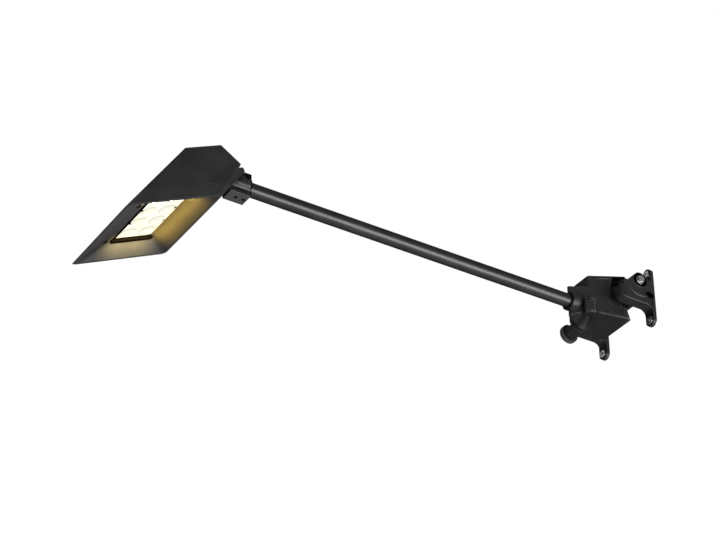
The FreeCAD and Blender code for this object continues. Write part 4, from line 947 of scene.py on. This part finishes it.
@dataclass
class Studio:
    """Floor, white surroundings, lamps and the camera at the photograph's place."""

    floor_z: float = -3.2
    floor_half: float = 8.0
    floor_dark: Colour = (0.8, 0.8, 0.8)
    floor_pale: Colour = (0.84, 0.84, 0.84)
    floor_cloud: float = 1.5
    floor_detail: float = 2.0
    floor_roughness: float = 0.9
    floor_glow: float = 0.35
    diffuse_level: float = 0.4
    room_level: float = 0.22
    backdrop_way: Point = (-0.714, 0.441, 0.544)
    backdrop_near: float = 0.9
    lamps: tuple[SoftLamp, ...] = (
        SoftLamp("key", (2.38, 0.85, -1.6), (0.0, -0.45, -0.02), (1.4, 2.4), 165.0),
        SoftLamp("top", (0.4, -0.8, 2.4), (0.0, -0.5, 0.0), (1.6, 1.6), 24.0))
    focal_px: float = 2167.8
    photo_width_px: float = 716.0
    sensor_mm: float = 36.0
    camera_at: Point = (2.73973, -2.29913, -2.19076)
    azimuth_deg: float = 58.3183
    elevation_deg: float = -32.9546
    roll_deg: float = 0.1189
    clip: Range = (0.1, 50.0)

    def build(self) -> None:
        """Make the whole studio."""
        self.surroundings()
        self.floor()
        for lamp in self.lamps:
            lamp.hang()
        self.camera()

    def surroundings(self) -> None:
        """Make the world: white where it is seen or mirrored, a soft grey light otherwise."""
        world = bpy.data.worlds.new("studio")
        bpy.context.scene.world = world
        world.use_nodes = True
        tree = world.node_tree
        tree.nodes.clear()
        output = tree.nodes.new("ShaderNodeOutputWorld")
        back = tree.nodes.new("ShaderNodeBackground")
        back.inputs["Color"].default_value = (*WHITE, 1.0)
        rays = tree.nodes.new("ShaderNodeLightPath")
        seen = tree.nodes.new("ShaderNodeMath")
        seen.operation = "ADD"
        seen.use_clamp = True
        sharp = tree.nodes.new("ShaderNodeMath")
        sharp.operation = "ADD"
        tree.links.new(rays.outputs["Is Camera Ray"], sharp.inputs[0])
        tree.links.new(rays.outputs["Is Glossy Ray"], sharp.inputs[1])
        tree.links.new(sharp.outputs["Value"], seen.inputs[0])
        tree.links.new(rays.outputs["Is Transmission Ray"], seen.inputs[1])
        level = tree.nodes.new("ShaderNodeMapRange")
        level.inputs["To Min"].default_value = self.diffuse_level
        tree.links.new(seen.outputs["Value"], level.inputs["Value"])
        tree.links.new(self.mirrored_level(tree, rays), level.inputs["To Max"])
        tree.links.new(level.outputs["Result"], back.inputs["Strength"])
        tree.links.new(back.outputs["Background"], output.inputs["Surface"])

    def mirrored_level(self, tree: bpy.types.NodeTree, rays: bpy.types.Node) -> Socket:
        """Return the world's strength where it is seen or mirrored.

        Args:
            tree: the world's node tree.
            rays: its Light Path node.

        Returns:
            The strength: 1 for the backdrop, and less for the room opposite it.
        """
        way = tree.nodes.new("ShaderNodeTexCoord")
        dot = tree.nodes.new("ShaderNodeVectorMath")
        dot.operation = "DOT_PRODUCT"
        tree.links.new(way.outputs["Generated"], dot.inputs[0])
        dot.inputs[1].default_value = self.backdrop_way
        room = tree.nodes.new("ShaderNodeMapRange")
        for key, number in (("From Min", 0.0), ("From Max", self.backdrop_near),
                            ("To Min", self.room_level), ("To Max", 1.0)):
            room.inputs[key].default_value = number
        tree.links.new(dot.outputs["Value"], room.inputs["Value"])
        level = tree.nodes.new("ShaderNodeMath")
        level.operation = "MAXIMUM"
        tree.links.new(room.outputs["Result"], level.inputs[0])
        tree.links.new(rays.outputs["Is Camera Ray"], level.inputs[1])
        return level.outputs["Value"]

    def floor(self) -> None:
        """Make the plain pale floor far below."""
        mesh = bpy.data.meshes.new("floor")
        bm = bmesh.new()
        bmesh.ops.create_grid(bm, x_segments=1, y_segments=1, size=self.floor_half)
        bmesh.ops.translate(bm, verts=bm.verts, vec=(0.0, 0.0, self.floor_z))
        bm.to_mesh(mesh)
        bm.free()
        floor = bpy.data.objects.new("floor", mesh)
        bpy.context.scene.collection.objects.link(floor)
        sheet = ShaderSheet("pale_floor")
        cloud = sheet.noise(self.floor_cloud, self.floor_detail)
        sheet.set(Base_Color=sheet.blend(cloud, self.floor_dark, self.floor_pale),
                  Roughness=self.floor_roughness)
        rays = sheet.add("ShaderNodeLightPath")
        mirrored = sheet.maths("ADD", rays.outputs["Is Glossy Ray"],
                               rays.outputs["Is Transmission Ray"])
        seen = sheet.maths("ADD", rays.outputs["Is Camera Ray"], mirrored)
        sheet.set(Emission_Color=WHITE,
                  Emission_Strength=sheet.maths("MULTIPLY", seen, self.floor_glow))
        mesh.materials.append(sheet.material)

    def camera(self) -> None:
        """Place the camera as it was fitted to the photograph."""
        azimuth, elevation = math.radians(self.azimuth_deg), math.radians(self.elevation_deg)
        back = Vector((math.sin(azimuth) * math.cos(elevation),
                       -math.cos(azimuth) * math.cos(elevation), math.sin(elevation)))
        data = bpy.data.cameras.new("camera")
        data.sensor_width = self.sensor_mm
        data.lens = self.focal_px / self.photo_width_px * self.sensor_mm
        data.clip_start, data.clip_end = self.clip
        camera = bpy.data.objects.new("camera", data)
        bpy.context.scene.collection.objects.link(camera)
        turn = (-back).to_track_quat("-Z", "Y").to_matrix().to_4x4()
        roll = Matrix.Rotation(math.radians(self.roll_deg), 4, "Z")
        camera.matrix_world = Matrix.Translation(self.camera_at) @ turn @ roll
        bpy.context.scene.camera = camera


def main() -> None:
    """Build the light in order, from the wall outwards, and the studio round it."""
    logging.basicConfig(level=logging.INFO, format="%(name)s: %(message)s")
    bpy.context.scene.view_settings.view_transform = "Standard"
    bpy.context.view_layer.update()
    shop = Workshop(frame["nodes"], frame["record"]["subparts"])
    for assembly in (WallMount(), ArmBox(), Knuckle(), Head()):
        assembly.build(shop)
        LOG.info("built %s on body %s", type(assembly).__name__, assembly.body.value)
    Studio().build()


if __name__ == "__main__":
    main()
